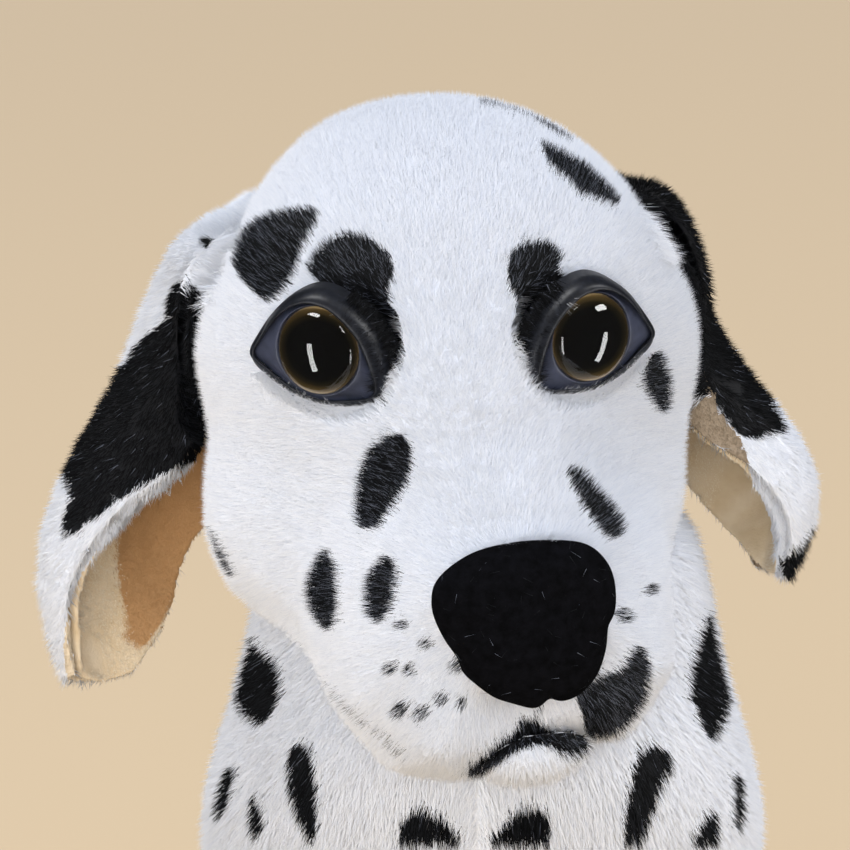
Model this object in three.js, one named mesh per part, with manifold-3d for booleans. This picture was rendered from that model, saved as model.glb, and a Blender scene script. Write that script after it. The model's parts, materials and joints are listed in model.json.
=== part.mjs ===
// A stuffed dog that sits: body, head, chin, four limbs and tail are stuffed forms, the ears
// are two layers of cloth, and the eyes and nose are moulded pieces with shanks and washers.
// Millimetres, +Z up. The dog faces -Y, its left side is +X, and the origin is the middle of
// the flat seat under its rump.

import * as THREE from "three";
import { mergeVertices } from "three/addons/utils/BufferGeometryUtils.js";
import Module from "manifold-3d";

const wasm = await Module();
wasm.setup();

// Room and cuts
const clearance = 0.5; // between a piece and the pocket cut for it
const overrun = 3; // how far a cutter runs past the face that it cuts
const pressedFlat = 0.5; // how deep a stuffed form is flattened where it stands

// Body and neck
const body = { height: 232, halfWidth: 67, halfDepth: 58, neckForward: 88 };
const seat = { halfWidth: 44, halfDepth: 42, edgeHeight: 9, flareShare: 1.23 };
const neck = { radius: 51, dome: 26, collarHeight: 30 };

// Head, measured from the point midway between the eyes
const headPlace = { aside: -7, forward: 38, above: 63 };
const headTilt = { turn: 4, nod: 13, lean: -2 }; // degrees
const skull = { halfWidth: 56, halfDepth: 46, halfHeight: 40, blend: 6 };
const muzzle = { halfWidth: 38, length: 60, drop: 64, aside: -4, turn: 12, twist: -5 };
const chin = { aside: 10, forward: 46, halfWidth: 15, halfLength: 11, halfHeight: 9 };

// Eyes
const eyeSpacing = 54.5;
const eyeTurn = { outward: 22, upward: 3 }; // degrees
const lid = { halfWidth: 15, halfHeight: 13, thickness: 9.4, rim: 2.2, sunk: 6, bevel: 1.6 };
const eyeball = { faceBelowLid: 0.8, bevel: 1, gap: 0.35 };
const lens = { radius: 8.6, crown: 4.6, seatDepth: 2.6, edge: 0.8 };
const iris = { radius: 8.2, thickness: 0.8 };
const oval = { tallShare: 1.1 };
const shank = { radius: 2.6, length: 17 };
const washer = { radius: 8, thickness: 2 };

// Nose
const nose = { halfWidth: 19, halfDepth: 11, halfHeight: 17, sunk: 4, blend: 1.6, upward: 12 };
const nostril = { length: 7, radius: 2.6, apart: 9.6 };

// Ears
const ear = { length: 108, outerThickness: 3.4, liningThickness: 1.6, seamLength: 34 };
const earRoot = { behind: 46, above: 7, slope: 6, turn: 10 }; // slope and turn in degrees
const earRaise = { farthest: 75, slack: 14 }; // degrees

// Limbs and tail
const frontLeg = { aside: 34, ahead: 24, top: 165, radius: 25 };
const frontPaw = { halfWidth: 25, halfLength: 34, halfHeight: 18, reach: 26 };
const thigh = { aside: 57, behind: 62, halfWidth: 27, halfLength: 47, halfHeight: 46, floorGap: 5 };
const hindPaw = { aside: 69, halfWidth: 22, halfLength: 45, halfHeight: 17, behind: 26 };
const tail = { length: 128, rootRadius: 13, fullest: 12, floorGap: 0.8, curl: 34, bury: 5 };

// Facet counts
const facetCounts = {
  torso: 28,
  leg: 14,
  tail: 12,
  headDetail: 6,
  chinDetail: 2,
  thighDetail: 3,
  pawDetail: 3,
  noseDetail: 6,
  round: 20,
  bore: 12,
};

// Materials
const finish = (color, roughness) => new THREE.MeshStandardMaterial({ color, roughness, metalness: 0 });
const whitePlush = finish(0xf0f2f5, 0.95);
const velourLining = finish(0xd0a983, 0.9);
const lidVinyl = finish(0x1c1c20, 0.5);
const eyePlastic = finish(0x45465a, 0.35);
const irisPaint = finish(0x5a4a2c, 0.4);
const clearPlastic = finish(0x2a2218, 0.05);
const noseFlock = finish(0x121214, 0.85);
const washerPlastic = finish(0xe8e6df, 0.5);

const degrees = THREE.MathUtils.degToRad;
const domeRises = [19, 38, 56, 73]; // the angles at which a dome's rings stand, in degrees
const sides = { left: 1, right: -1 };

// Solids and meshes
function solid(geometry) {
  const bare = geometry.clone();
  for (const name of Object.keys(bare.attributes)) {
    if (name !== "position") bare.deleteAttribute(name);
  }
  const merged = mergeVertices(bare, 1e-4);
  const vertProperties = Float32Array.from(merged.attributes.position.array);
  const triVerts = Uint32Array.from(merged.index.array);
  return new wasm.Manifold(new wasm.Mesh({ numProp: 3, vertProperties, triVerts }));
}

function geometryOf(shape) {
  const { numProp, vertProperties, triVerts } = shape.getMesh();
  const geometry = new THREE.BufferGeometry();
  const points = new Float32Array((vertProperties.length / numProp) * 3);
  for (let i = 0; i < points.length / 3; i++) {
    points.set(vertProperties.subarray(i * numProp, i * numProp + 3), i * 3);
  }
  geometry.setAttribute("position", new THREE.BufferAttribute(points, 3));
  geometry.setIndex([...triVerts]);
  geometry.computeVertexNormals();
  return geometry;
}

function cut(geometry, ...cutters) {
  return geometryOf(cutters.reduce((left, cutter) => left.subtract(solid(cutter)), solid(geometry)));
}

function join(geometry, ...others) {
  return geometryOf(others.reduce((whole, other) => whole.add(solid(other)), solid(geometry)));
}

function inFrameOf(group, geometry, from) {
  const into = group.matrixWorld.clone().invert();
  if (from) into.multiply(from.matrixWorld);
  return geometry.clone().applyMatrix4(into);
}

function place(parent, name, geometry, material) {
  const mesh = new THREE.Mesh(geometry, material);
  mesh.name = name;
  parent.add(mesh);
  return mesh;
}

// A closed surface from rings of points, each ring's ends and the two caps closed by a fan
function closedLoft(rings, startTip, endTip) {
  const count = rings[0].length;
  const points = [startTip, ...rings.flat(), endTip];
  const index = [];
  const at = (row, column) => 1 + row * count + (column % count);
  for (let c = 0; c < count; c++) {
    index.push(0, at(0, c + 1), at(0, c));
    index.push(points.length - 1, at(rings.length - 1, c), at(rings.length - 1, c + 1));
    for (let r = 0; r + 1 < rings.length; r++) {
      index.push(at(r, c), at(r, c + 1), at(r + 1, c));
      index.push(at(r, c + 1), at(r + 1, c + 1), at(r + 1, c));
    }
  }
  const geometry = new THREE.BufferGeometry().setFromPoints(points);
  geometry.setIndex(index);
  return facingOut(geometry);
}

function facingOut(geometry) {
  const index = geometry.index.array;
  const [a, b, c] = [new THREE.Vector3(), new THREE.Vector3(), new THREE.Vector3()];
  const points = geometry.attributes.position;
  let volume = 0;
  for (let i = 0; i < index.length; i += 3) {
    a.fromBufferAttribute(points, index[i]);
    b.fromBufferAttribute(points, index[i + 1]);
    c.fromBufferAttribute(points, index[i + 2]);
    volume += a.dot(b.cross(c));
  }
  if (volume < 0) {
    const turned = [];
    for (let i = 0; i < index.length; i += 3) turned.push(index[i], index[i + 2], index[i + 1]);
    geometry.setIndex(turned);
  }
  geometry.computeVertexNormals();
  return geometry;
}

// Stuffed forms: ellipsoid lumps that swell into one another
function lumpField(lumps, blend) {
  return (p) => {
    let sum = 0;
    for (const { at, radii } of lumps) {
      const q = [p.x - at[0], p.y - at[1], p.z - at[2]];
      const near = Math.hypot(q[0] / radii[0], q[1] / radii[1], q[2] / radii[2]);
      const slope = Math.hypot(q[0] / radii[0] ** 2, q[1] / radii[1] ** 2, q[2] / radii[2] ** 2);
      const distance = slope > 0 ? (near * (near - 1)) / slope : -Math.min(...radii);
      sum += Math.exp(-distance / blend);
    }
    return -blend * Math.log(sum);
  };
}

function skinAlong(field, from, direction, reach, grow = 0) {
  const steps = 48;
  const p = new THREE.Vector3();
  const value = (t) => field(p.copy(direction).multiplyScalar(t).add(from)) - grow;
  let outside = reach;
  let inside = reach;
  while (inside > 0 && value(inside) > 0) {
    outside = inside;
    inside -= reach / steps;
  }
  for (let i = 0; i < 24; i++) {
    const middle = (outside + inside) / 2;
    if (value(middle) > 0) outside = middle;
    else inside = middle;
  }
  return inside;
}

function stuffed(field, centre, reach, detail, grow = 0) {
  const ball = new THREE.IcosahedronGeometry(1, detail);
  ball.deleteAttribute("normal");
  ball.deleteAttribute("uv");
  const geometry = mergeVertices(ball, 1e-5);
  const spots = geometry.attributes.position;
  const direction = new THREE.Vector3();
  for (let i = 0; i < spots.count; i++) {
    direction.fromBufferAttribute(spots, i).normalize();
    const away = skinAlong(field, centre, direction, reach, grow);
    spots.setXYZ(
      i,
      centre.x + direction.x * away,
      centre.y + direction.y * away,
      centre.z + direction.z * away,
    );
  }
  return facingOut(geometry);
}

const scaledLumps = (shares, size) =>
  shares.flatMap(({ at, radii, pair }) => {
    const lump = (side) => ({
      at: [side * at[0] * size.x, at[1] * size.y, at[2] * size.z],
      radii: [radii[0] * size.x, radii[1] * size.y, radii[2] * size.z],
    });
    return pair ? [lump(1), lump(-1)] : [lump(1)];
  });

function underFloor(depth) {
  const wide = body.height * 4;
  const slab = new THREE.BoxGeometry(wide, wide, depth);
  return slab.translate(0, 0, -depth / 2);
}

// Torso: rows of [height, forward place of the centre, half width, half depth] as shares
// of the body's height, the neck's place, its half width and its half depth
const torsoSectionShares = [
  [0.12, 0.1, 0.9, 0.98],
  [0.25, 0.24, 0.92, 1],
  [0.42, 0.49, 0.93, 0.95],
  [0.58, 0.71, 0.98, 0.92],
  [0.69, 0.86, 1, 0.93],
  [0.77, 0.95, 0.965, 0.95],
];

// The round collar below the neck: rows of [height, radius] as shares of its height and the
// neck's radius
const collarShares = [
  [0, 1.13],
  [0.5, 1.06],
  [1, 1],
];

function torsoForm(grow = 0) {
  const collarBase = body.height - neck.collarHeight;
  const stations = [
    [0, 0.02 * body.neckForward, seat.halfWidth, seat.halfDepth],
    [
      seat.edgeHeight,
      0.05 * body.neckForward,
      seat.halfWidth * seat.flareShare,
      seat.halfDepth * seat.flareShare,
    ],
    ...torsoSectionShares.map(([up, forward, wide, deep]) => [
      up * body.height,
      forward * body.neckForward,
      wide * body.halfWidth,
      deep * body.halfDepth,
    ]),
    ...collarShares.map(([up, wide]) => [
      collarBase + up * neck.collarHeight,
      body.neckForward,
      wide * neck.radius,
      wide * neck.radius,
    ]),
  ];
  const curve = new THREE.CatmullRomCurve3(stations.map(([z, y, w]) => new THREE.Vector3(w, -y, z)));
  const depths = new THREE.CatmullRomCurve3(stations.map(([z, y, , d]) => new THREE.Vector3(d, -y, z)));
  const ring = (y, z, wide, deep) =>
    Array.from({ length: facetCounts.torso }, (_, i) => {
      const angle = (i / facetCounts.torso) * Math.PI * 2;
      return new THREE.Vector3(Math.cos(angle) * (wide + grow), y + Math.sin(angle) * (deep + grow), z);
    });
  const rings = [];
  const between = 2;
  const last = stations.length - 1;
  for (let k = 0; k <= last * between; k++) {
    const at = k / (last * between);
    const side = curve.getPoint(at);
    const front = depths.getPoint(at);
    const collar = side.z >= collarBase - 1e-6;
    rings.push(ring(collar ? -body.neckForward : side.y, side.z, side.x, collar ? side.x : front.x));
  }
  for (const rise of domeRises) {
    const up = body.height + Math.sin(degrees(rise)) * (neck.dome + grow);
    const wide = Math.cos(degrees(rise)) * neck.radius;
    rings.push(ring(-body.neckForward, up, wide, wide));
  }
  const bottom = new THREE.Vector3(0, rings[0][0].y, 0);
  const top = new THREE.Vector3(0, -body.neckForward, body.height + neck.dome + grow);
  return closedLoft(rings, bottom, top);
}

// A limb: round sections along a spine, their radii as shares of the limb's radius, and at
// each end a tip that bulges by a share of the radius there
const tipShare = 0.5;

function limbForm(spine, radiusShares, radius, count, grow = 0) {
  const curve = new THREE.CatmullRomCurve3(spine);
  const steps = (radiusShares.length - 1) * 2;
  const frames = curve.computeFrenetFrames(steps, false);
  const swell = new THREE.CatmullRomCurve3(radiusShares.map((share) => new THREE.Vector3(share, 0, 0)));
  const rings = [];
  for (let k = 0; k <= steps; k++) {
    const centre = curve.getPointAt(k / steps);
    const wide = swell.getPoint(k / steps).x * radius + grow;
    rings.push(
      Array.from({ length: count }, (_, i) => {
        const angle = (i / count) * Math.PI * 2;
        return centre
          .clone()
          .addScaledVector(frames.normals[k], Math.cos(angle) * wide)
          .addScaledVector(frames.binormals[k], Math.sin(angle) * wide);
      }),
    );
  }
  const tip = (at, share, sign) =>
    curve.getPointAt(at).addScaledVector(curve.getTangentAt(at), sign * share * radius * tipShare);
  return closedLoft(rings, tip(0, radiusShares[0], -1), tip(1, radiusShares.at(-1), 1));
}

// Scene graph
const dog = new THREE.Group();
const headGroup = new THREE.Group();
headGroup.position.set(
  headPlace.aside,
  -body.neckForward - headPlace.forward,
  body.height + headPlace.above,
);
headGroup.rotation.set(degrees(headTilt.nod), degrees(headTilt.lean), degrees(headTilt.turn), "ZXY");
dog.add(headGroup);
const muzzleGroup = new THREE.Group();
muzzleGroup.position.x = muzzle.aside;
muzzleGroup.rotation.set(0, degrees(muzzle.twist), degrees(muzzle.turn), "ZXY");
headGroup.add(muzzleGroup);
dog.updateMatrixWorld(true);

// Tail joint
const tailRoot = new THREE.Vector3(
  0,
  body.halfDepth - tail.bury,
  tail.rootRadius + tail.floorGap * 2,
);

// Rows of [aside, backward, height] as shares of the tail's curl, its run and its own height
const tailSpineShares = [
  [0, 0.3, 1],
  [0.3, 0.6, 0.86],
  [0.75, 0.82, 0.7],
  [1.35, 0.97, 0.52],
];

function tailForm(grow = 0) {
  const run = tail.length - tail.rootRadius;
  const low = tail.fullest + tail.floorGap * 2;
  const spine = [
    tailRoot.clone(),
    ...tailSpineShares.map(
      ([aside, back, up]) => new THREE.Vector3(tail.curl * aside, tailRoot.y + run * back, low * up),
    ),
  ];
  const radiusShares = [0.84, 0.95, 1, 0.92, 0.74, 0.42];
  return limbForm(spine, radiusShares, tail.fullest, facetCounts.tail, grow);
}

const rootBall = (grow) =>
  new THREE.SphereGeometry(tail.rootRadius + grow, facetCounts.round, facetCounts.round / 2).translate(
    tailRoot.x,
    tailRoot.y,
    tailRoot.z,
  );

// Torso with its tail socket, whose mouth is wide enough for the wagging tail
const wagMouthShares = [1.5, 1.3, 1];
const wagMouth = new THREE.SphereGeometry(tail.rootRadius + clearance, facetCounts.round, facetCounts.round / 2)
  .scale(...wagMouthShares)
  .translate(tailRoot.x, tailRoot.y + tail.rootRadius, tailRoot.z);
const torso = cut(torsoForm(), rootBall(clearance), wagMouth);
place(dog, "torso", torso, whitePlush);

const tailSolid = cut(join(rootBall(0), tailForm()), underFloor(body.height));
place(dog, "tail", tailSolid, whitePlush);

// Hind limbs
const torsoGrown = torsoForm(clearance);

for (const [name, side] of Object.entries(sides)) {
  const hip = new THREE.Vector3(
    side * thigh.aside,
    thigh.behind - body.neckForward,
    thigh.halfHeight + thigh.floorGap,
  );
  const thighField = lumpField(
    [
      { at: hip.toArray(), radii: [thigh.halfWidth, thigh.halfLength, thigh.halfHeight] },
      {
        at: [hip.x, hip.y - thigh.halfLength * 0.4, hip.z - thigh.halfHeight * 0.35],
        radii: [thigh.halfWidth * 0.85, thigh.halfLength * 0.55, thigh.halfHeight * 0.5],
      },
    ],
    skull.blend,
  );
  const reach = thigh.halfLength * 2;
  const thighForm = (grow) => stuffed(thighField, hip, reach, facetCounts.thighDetail, grow);
  const thighSolid = cut(thighForm(0), torsoGrown, underFloor(body.height));
  place(dog, `thigh_${name}`, thighSolid, whitePlush);

  const foot = new THREE.Vector3(
    side * hindPaw.aside,
    hip.y - hindPaw.behind,
    hindPaw.halfHeight - pressedFlat,
  );
  const footField = lumpField(pawLumps(foot, hindPaw, side), skull.blend / 3);
  const footForm = stuffed(footField, foot, hindPaw.halfLength * 2, facetCounts.pawDetail);
  const footSolid = cut(footForm, torsoGrown, thighForm(clearance), underFloor(body.height));
  place(dog, `hind_paw_${name}`, footSolid, whitePlush);
}

// A paw is a long pad with three toes at its front
function pawLumps(centre, size) {
  const toeShares = [-0.56, 0, 0.56];
  const pad = {
    at: [centre.x, centre.y + size.halfLength * 0.12, centre.z],
    radii: [size.halfWidth * 0.96, size.halfLength * 0.86, size.halfHeight],
  };
  const toes = toeShares.map((across) => ({
    at: [
      centre.x + across * size.halfWidth,
      centre.y - size.halfLength * (0.68 - 0.14 * Math.abs(across)),
      centre.z - size.halfHeight * 0.12,
    ],
    radii: [size.halfWidth * 0.36, size.halfLength * 0.32, size.halfHeight * 0.82],
  }));
  return [pad, ...toes];
}

// Front limbs: rows of [backward, height] as shares of the leg's radius and its top
const legSpineShares = [
  [0.5, 1],
  [0.1, 0.66],
  [0, 0.33],
  [-0.1, 0],
];

for (const [name, side] of Object.entries(sides)) {
  const foreY = -body.neckForward - frontLeg.ahead;
  const spine = legSpineShares.map(
    ([back, up]) =>
      new THREE.Vector3(side * frontLeg.aside, foreY + frontLeg.radius * back, frontLeg.top * up),
  );
  const radiusShares = [0.92, 1, 0.9, 0.82, 0.9];
  const legForm = (grow) => limbForm(spine, radiusShares, frontLeg.radius, facetCounts.leg, grow);
  const legSolid = cut(legForm(0), torsoGrown, underFloor(body.height));
  place(dog, `front_leg_${name}`, legSolid, whitePlush);

  const paw = new THREE.Vector3(
    side * frontLeg.aside,
    foreY - frontPaw.reach,
    frontPaw.halfHeight - pressedFlat,
  );
  const pawField = lumpField(pawLumps(paw, frontPaw), skull.blend / 3);
  const pawForm = stuffed(pawField, paw, frontPaw.halfLength * 2, facetCounts.pawDetail);
  const pawSolid = cut(pawForm, torsoGrown, legForm(clearance), underFloor(body.height));
  place(dog, `front_paw_${name}`, pawSolid, whitePlush);
}

// Head: lumps as shares of the skull's and the muzzle's sizes, from between the eyes
const skullLumpShares = [
  { at: [0, 0.78, -0.1], radii: [0.8, 1, 0.98] },
  { at: [0, 0.44, -0.33], radii: [0.97, 0.8, 0.84] },
  { at: [0, 0.2, -1.2], radii: [0.89, 0.66, 0.8] },
  { at: [0, 0.98, -0.82], radii: [0.84, 0.9, 0.84] },
  { at: [0.35, 0.26, 0.18], radii: [0.32, 0.28, 0.34], pair: true },
  { at: [-0.64, 0.22, -1.26], radii: [0.3, 0.42, 0.5] },
];
const muzzleLumpShares = [
  { at: [0, -0.08, -0.24], radii: [0.66, 0.42, 0.38] },
  { at: [0, -0.42, -0.72], radii: [0.82, 0.54, 0.44] },
  { at: [0.46, -0.4, -1.03], radii: [0.52, 0.54, 0.37], pair: true },
];
const skullSize = new THREE.Vector3(skull.halfWidth, skull.halfDepth, skull.halfHeight);
const muzzleSize = new THREE.Vector3(muzzle.halfWidth, muzzle.length, muzzle.drop);
const skullField = lumpField(scaledLumps(skullLumpShares, skullSize), skull.blend);
const straightMuzzle = lumpField(scaledLumps(muzzleLumpShares, muzzleSize), skull.blend);
const untwist = muzzleGroup.matrix.clone().invert();
const muzzleField = (p) => straightMuzzle(p.clone().applyMatrix4(untwist));
const headField = (p) =>
  -skull.blend * Math.log(Math.exp(-skullField(p) / skull.blend) + Math.exp(-muzzleField(p) / skull.blend));
const headCentre = new THREE.Vector3(0, skull.halfDepth * 0.5, -skull.halfHeight * 0.3);
const headReach = skull.halfDepth + muzzle.length * 2;
const headForm = (grow) => stuffed(headField, headCentre, headReach, facetCounts.headDetail, grow);

// Eyes: each has a lid, a ball with its shank, a painted iris, a clear lens and a washer
const lidOutlineShares = [
  [1.03, -0.27],
  [0.7, 0.6],
  [-0.06, 1.1],
  [-0.66, 0.84],
  [-0.98, 0.1],
  [-0.76, -0.6],
  [-0.14, -0.93],
  [0.55, -0.72],
];

function lidOutline(side, inset) {
  const wide = lid.halfWidth - inset;
  const tall = lid.halfHeight - inset;
  const points = lidOutlineShares.map(([x, y]) => new THREE.Vector2(side * x * wide, y * tall));
  const corner = points[0];
  const shape = new THREE.Shape();
  shape.moveTo(corner.x, corner.y);
  shape.splineThru([...points.slice(1), corner.clone()]);
  return shape;
}

function extrudedLid(side, inset, from, to, bevel = 0) {
  return new THREE.ExtrudeGeometry(lidOutline(side, inset), {
    depth: to - from - 2 * bevel,
    curveSegments: 3,
    bevelEnabled: bevel > 0,
    bevelThickness: bevel,
    bevelSize: bevel,
    bevelOffset: -bevel,
    bevelSegments: 2,
  }).translate(0, 0, from + bevel);
}

const turned = (profile, count) =>
  new THREE.LatheGeometry(
    profile.map(([r, z]) => new THREE.Vector2(r, z)),
    count,
  ).rotateX(Math.PI / 2);

const rod = (radius, from, to, count = facetCounts.bore) =>
  turned([[0, from], [radius, from], [radius, to], [0, to]], count);

// A dome of the given rim radius and crown, standing on the height given
function domeProfile(radius, base, edge, crown) {
  const profile = [[0, base], [radius, base], [radius, base + edge]];
  for (const rise of domeRises) {
    profile.push([Math.cos(degrees(rise)) * radius, base + edge + Math.sin(degrees(rise)) * crown]);
  }
  profile.push([0, base + edge + crown]);
  return profile;
}

const stretch = (geometry) => geometry.scale(1, oval.tallShare, 1);
const washerTop = -lid.sunk - shank.length * 0.4;

function washerAndRoom() {
  const hole = shank.radius + eyeball.gap;
  const ring = turned(
    [
      [hole, washerTop],
      [hole, washerTop - washer.thickness],
      [washer.radius, washerTop - washer.thickness],
      [washer.radius, washerTop],
      [hole, washerTop],
    ],
    facetCounts.round,
  );
  const room = rod(
    washer.radius + clearance,
    washerTop - washer.thickness - clearance,
    washerTop + clearance,
    facetCounts.round,
  );
  return { ring, room };
}

const headCutters = [];

for (const [name, side] of Object.entries(sides)) {
  const outward = new THREE.Vector3(
    side * Math.sin(degrees(eyeTurn.outward)),
    -Math.cos(degrees(eyeTurn.outward)),
    Math.tan(degrees(eyeTurn.upward)),
  ).normalize();
  const start = new THREE.Vector3((side * eyeSpacing) / 2, skull.halfDepth / 2, 0);
  const ahead = new THREE.Vector3(0, -1, 0);
  const away = skinAlong(headField, start, ahead, skull.halfDepth * 2);
  const group = new THREE.Group();
  group.position.copy(start).addScaledVector(ahead, away);
  const up = new THREE.Vector3(0, 0, 1);
  const right = new THREE.Vector3().crossVectors(up, outward).normalize();
  up.crossVectors(outward, right);
  group.quaternion.setFromRotationMatrix(new THREE.Matrix4().makeBasis(right, up, outward));
  headGroup.add(group);
  group.updateMatrixWorld(true);

  // Every height here is along the eye's own axis, from the skin outward
  const lidFace = lid.thickness - lid.sunk;
  const ballBack = -lid.sunk;
  const opened = extrudedLid(side, lid.rim, ballBack - overrun, lidFace + overrun);
  const lidSolid = cut(extrudedLid(side, 0, -lid.sunk, lidFace, lid.bevel), opened);
  place(group, `eye_${name}_lid`, lidSolid, lidVinyl);

  const ballInset = lid.rim + eyeball.gap;
  const ballFace = lidFace - eyeball.faceBelowLid;
  const ballDisc = extrudedLid(side, ballInset, ballBack, ballFace, eyeball.bevel);
  const shankRod = rod(shank.radius, ballBack - shank.length, ballBack + lid.bevel);
  const seatFloor = ballFace - lens.seatDepth;
  const lensSeat = stretch(
    rod(lens.radius + eyeball.gap, seatFloor, lidFace + overrun, facetCounts.round),
  );
  const ballSolid = cut(join(ballDisc, shankRod), lensSeat);
  place(group, `eye_${name}_ball`, ballSolid, eyePlastic);

  const irisBase = seatFloor + eyeball.gap;
  const irisTop = irisBase + iris.thickness;
  place(group, `eye_${name}_iris`, stretch(rod(iris.radius, irisBase, irisTop, facetCounts.round)), irisPaint);
  const lensBase = irisTop + eyeball.gap;
  const lensForm = turned(domeProfile(lens.radius, lensBase, lens.edge, lens.crown), facetCounts.round);
  place(group, `eye_${name}_lens`, stretch(lensForm), clearPlastic);

  const { ring, room } = washerAndRoom();
  place(group, `eye_${name}_washer`, ring, washerPlastic);

  const lidRoom = extrudedLid(side, -clearance, -lid.sunk - clearance, lidFace + overrun);
  const bore = rod(shank.radius + clearance, ballBack - shank.length - clearance, 0);
  headCutters.push(
    inFrameOf(headGroup, lidRoom, group),
    inFrameOf(headGroup, bore, group),
    inFrameOf(headGroup, room, group),
  );
}

// Nose: lumps as shares of its half sizes, with nostrils and the notch below
const noseLumpShares = [
  { at: [0, 0.1, 0.26], radii: [1, 0.95, 0.7] },
  { at: [0.3, 0.15, -0.42], radii: [0.52, 0.85, 0.56], pair: true },
];
const noseSize = new THREE.Vector3(nose.halfWidth, nose.halfDepth, nose.halfHeight);
const noseField = lumpField(scaledLumps(noseLumpShares, noseSize), nose.blend);
const noseGroup = new THREE.Group();
const noseStart = new THREE.Vector3(0, 0, -muzzle.drop * 0.66);
const noseAway = skinAlong(straightMuzzle, noseStart, new THREE.Vector3(0, -1, 0), muzzle.length * 2);
noseGroup.position.set(0, nose.sunk - noseAway, noseStart.z);
noseGroup.rotation.x = -degrees(nose.upward);
muzzleGroup.add(noseGroup);
noseGroup.updateMatrixWorld(true);

const noseForm = (grow) =>
  stuffed(noseField, new THREE.Vector3(), nose.halfWidth * 2, facetCounts.noseDetail, grow);
const noseBall = (x, y, z, radius, long) =>
  new THREE.SphereGeometry(radius, facetCounts.bore, facetCounts.bore / 2).scale(long, 1, 1).translate(x, y, z);
const nostrils = Object.values(sides).map((side) =>
  noseBall(0, 0, 0, nostril.radius, nostril.length / nostril.radius / 2)
    .rotateY(side * degrees(28))
    .rotateZ(side * degrees(38))
    .translate(side * nostril.apart, -nose.halfDepth * 0.86, -nose.halfHeight * 0.12),
);
const noseShank = rod(shank.radius, 0, shank.length + nose.halfDepth).rotateX(-Math.PI / 2);
const noseBody = cut(noseForm(0), ...nostrils);
place(noseGroup, "nose", join(noseBody, noseShank), noseFlock);

const toShank = (geometry) => geometry.rotateX(Math.PI / 2).translate(0, nose.halfDepth - lid.sunk, 0);
const noseWasher = washerAndRoom();
place(noseGroup, "nose_washer", toShank(noseWasher.ring), washerPlastic);
headCutters.push(
  inFrameOf(headGroup, noseForm(clearance), noseGroup),
  inFrameOf(headGroup, toShank(noseWasher.room), noseGroup),
  inFrameOf(
    headGroup,
    rod(shank.radius + clearance, 0, shank.length + nose.halfDepth + clearance).rotateX(-Math.PI / 2),
    noseGroup,
  ),
);

// Ears: a sheet whose control rows run from the front margin, over the outer fold, to the
// back margin. Each point is [outward, backward, upward] from the seam, as shares of the
// ear's length.
const earRowShares = [
  [[0, -0.16, 0], [0, -0.08, 0], [0, 0, 0], [0, 0.08, 0], [0, 0.16, 0]],
  [[0.04, -0.19, -0.07], [0.08, -0.1, -0.03], [0.09, 0, -0.03], [0.08, 0.1, -0.04], [0.04, 0.19, -0.08]],
  [[0.05, -0.19, -0.23], [0.14, -0.14, -0.16], [0.19, -0.01, -0.15], [0.14, 0.13, -0.19], [0.04, 0.22, -0.27]],
  [[0.06, -0.19, -0.41], [0.19, -0.18, -0.33], [0.27, -0.04, -0.31], [0.19, 0.14, -0.4], [0.04, 0.2, -0.49]],
  [[0.24, -0.23, -0.56], [0.32, -0.18, -0.49], [0.35, -0.07, -0.5], [0.23, 0.11, -0.57], [0.06, 0.12, -0.67]],
  [[0.33, -0.23, -0.73], [0.39, -0.19, -0.71], [0.4, -0.12, -0.71], [0.29, 0.01, -0.75], [0.14, 0.05, -0.83]],
  [[0.31, -0.2, -0.9], [0.33, -0.19, -0.92], [0.31, -0.16, -0.94], [0.29, -0.12, -0.96], [0.24, -0.09, -0.96]],
];
const earGrid = { rows: 15, columns: 9 };

// How each ear hangs: shares by which each row is spread outward and let down
const earHangShares = {
  right: { out: [1, 0.9, 0.7, 0.85, 0.98, 1.02, 1.04], drop: [1, 1, 1, 1.02, 1.03, 1.03, 1.03] },
  left: { out: [1, 0.7, 0.45, 0.65, 0.8, 0.85, 0.86], drop: [1, 1, 1, 1, 0.97, 0.92, 0.84] },
};

function earPoints(side, hang, intoHead) {
  const through = (points) => new THREE.CatmullRomCurve3(points);
  const columns = earRowShares[0].map((_, column) =>
    through(
      earRowShares.map((row, r) => {
        const [out, back, up] = row[column];
        return new THREE.Vector3(side * out * hang.out[r], back, up * hang.drop[r]).multiplyScalar(ear.length);
      }),
    ),
  );
  return Array.from({ length: earGrid.rows }, (_, r) => {
    const down = r / (earGrid.rows - 1);
    const across = through(columns.map((column) => column.getPoint(down)));
    return Array.from({ length: earGrid.columns }, (_, c) =>
      liftedClear(across.getPoint(c / (earGrid.columns - 1)), intoHead, down),
    );
  });
}

// Cloth that would dip into the head lies on its skin instead, all but the seam itself, with
// this share of the clearance between them
const liftShare = 2.4;

function liftedClear(point, intoHead, down) {
  const freeShare = 0.12;
  const room = (clearance * liftShare + ear.liningThickness) * Math.min(down / freeShare, 1);
  const p = point.clone().applyMatrix4(intoHead);
  for (let pass = 0; pass < 4; pass++) {
    const depth = headField(p) - room;
    if (down === 0 || depth >= 0) break;
    const step = clearance;
    const slope = new THREE.Vector3(
      headField(p.clone().setX(p.x + step)) - headField(p.clone().setX(p.x - step)),
      headField(p.clone().setY(p.y + step)) - headField(p.clone().setY(p.y - step)),
      headField(p.clone().setZ(p.z + step)) - headField(p.clone().setZ(p.z - step)),
    );
    p.addScaledVector(slope.normalize(), -depth);
  }
  return p.applyMatrix4(intoHead.clone().invert());
}

function sheetNormals(grid) {
  return grid.map((row, r) =>
    row.map((_, c) => {
      const down = grid[Math.min(r + 1, grid.length - 1)][c].clone().sub(grid[Math.max(r - 1, 0)][c]);
      const along = row[Math.min(c + 1, row.length - 1)].clone().sub(row[Math.max(c - 1, 0)]);
      return down.cross(along).normalize();
    }),
  );
}

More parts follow.
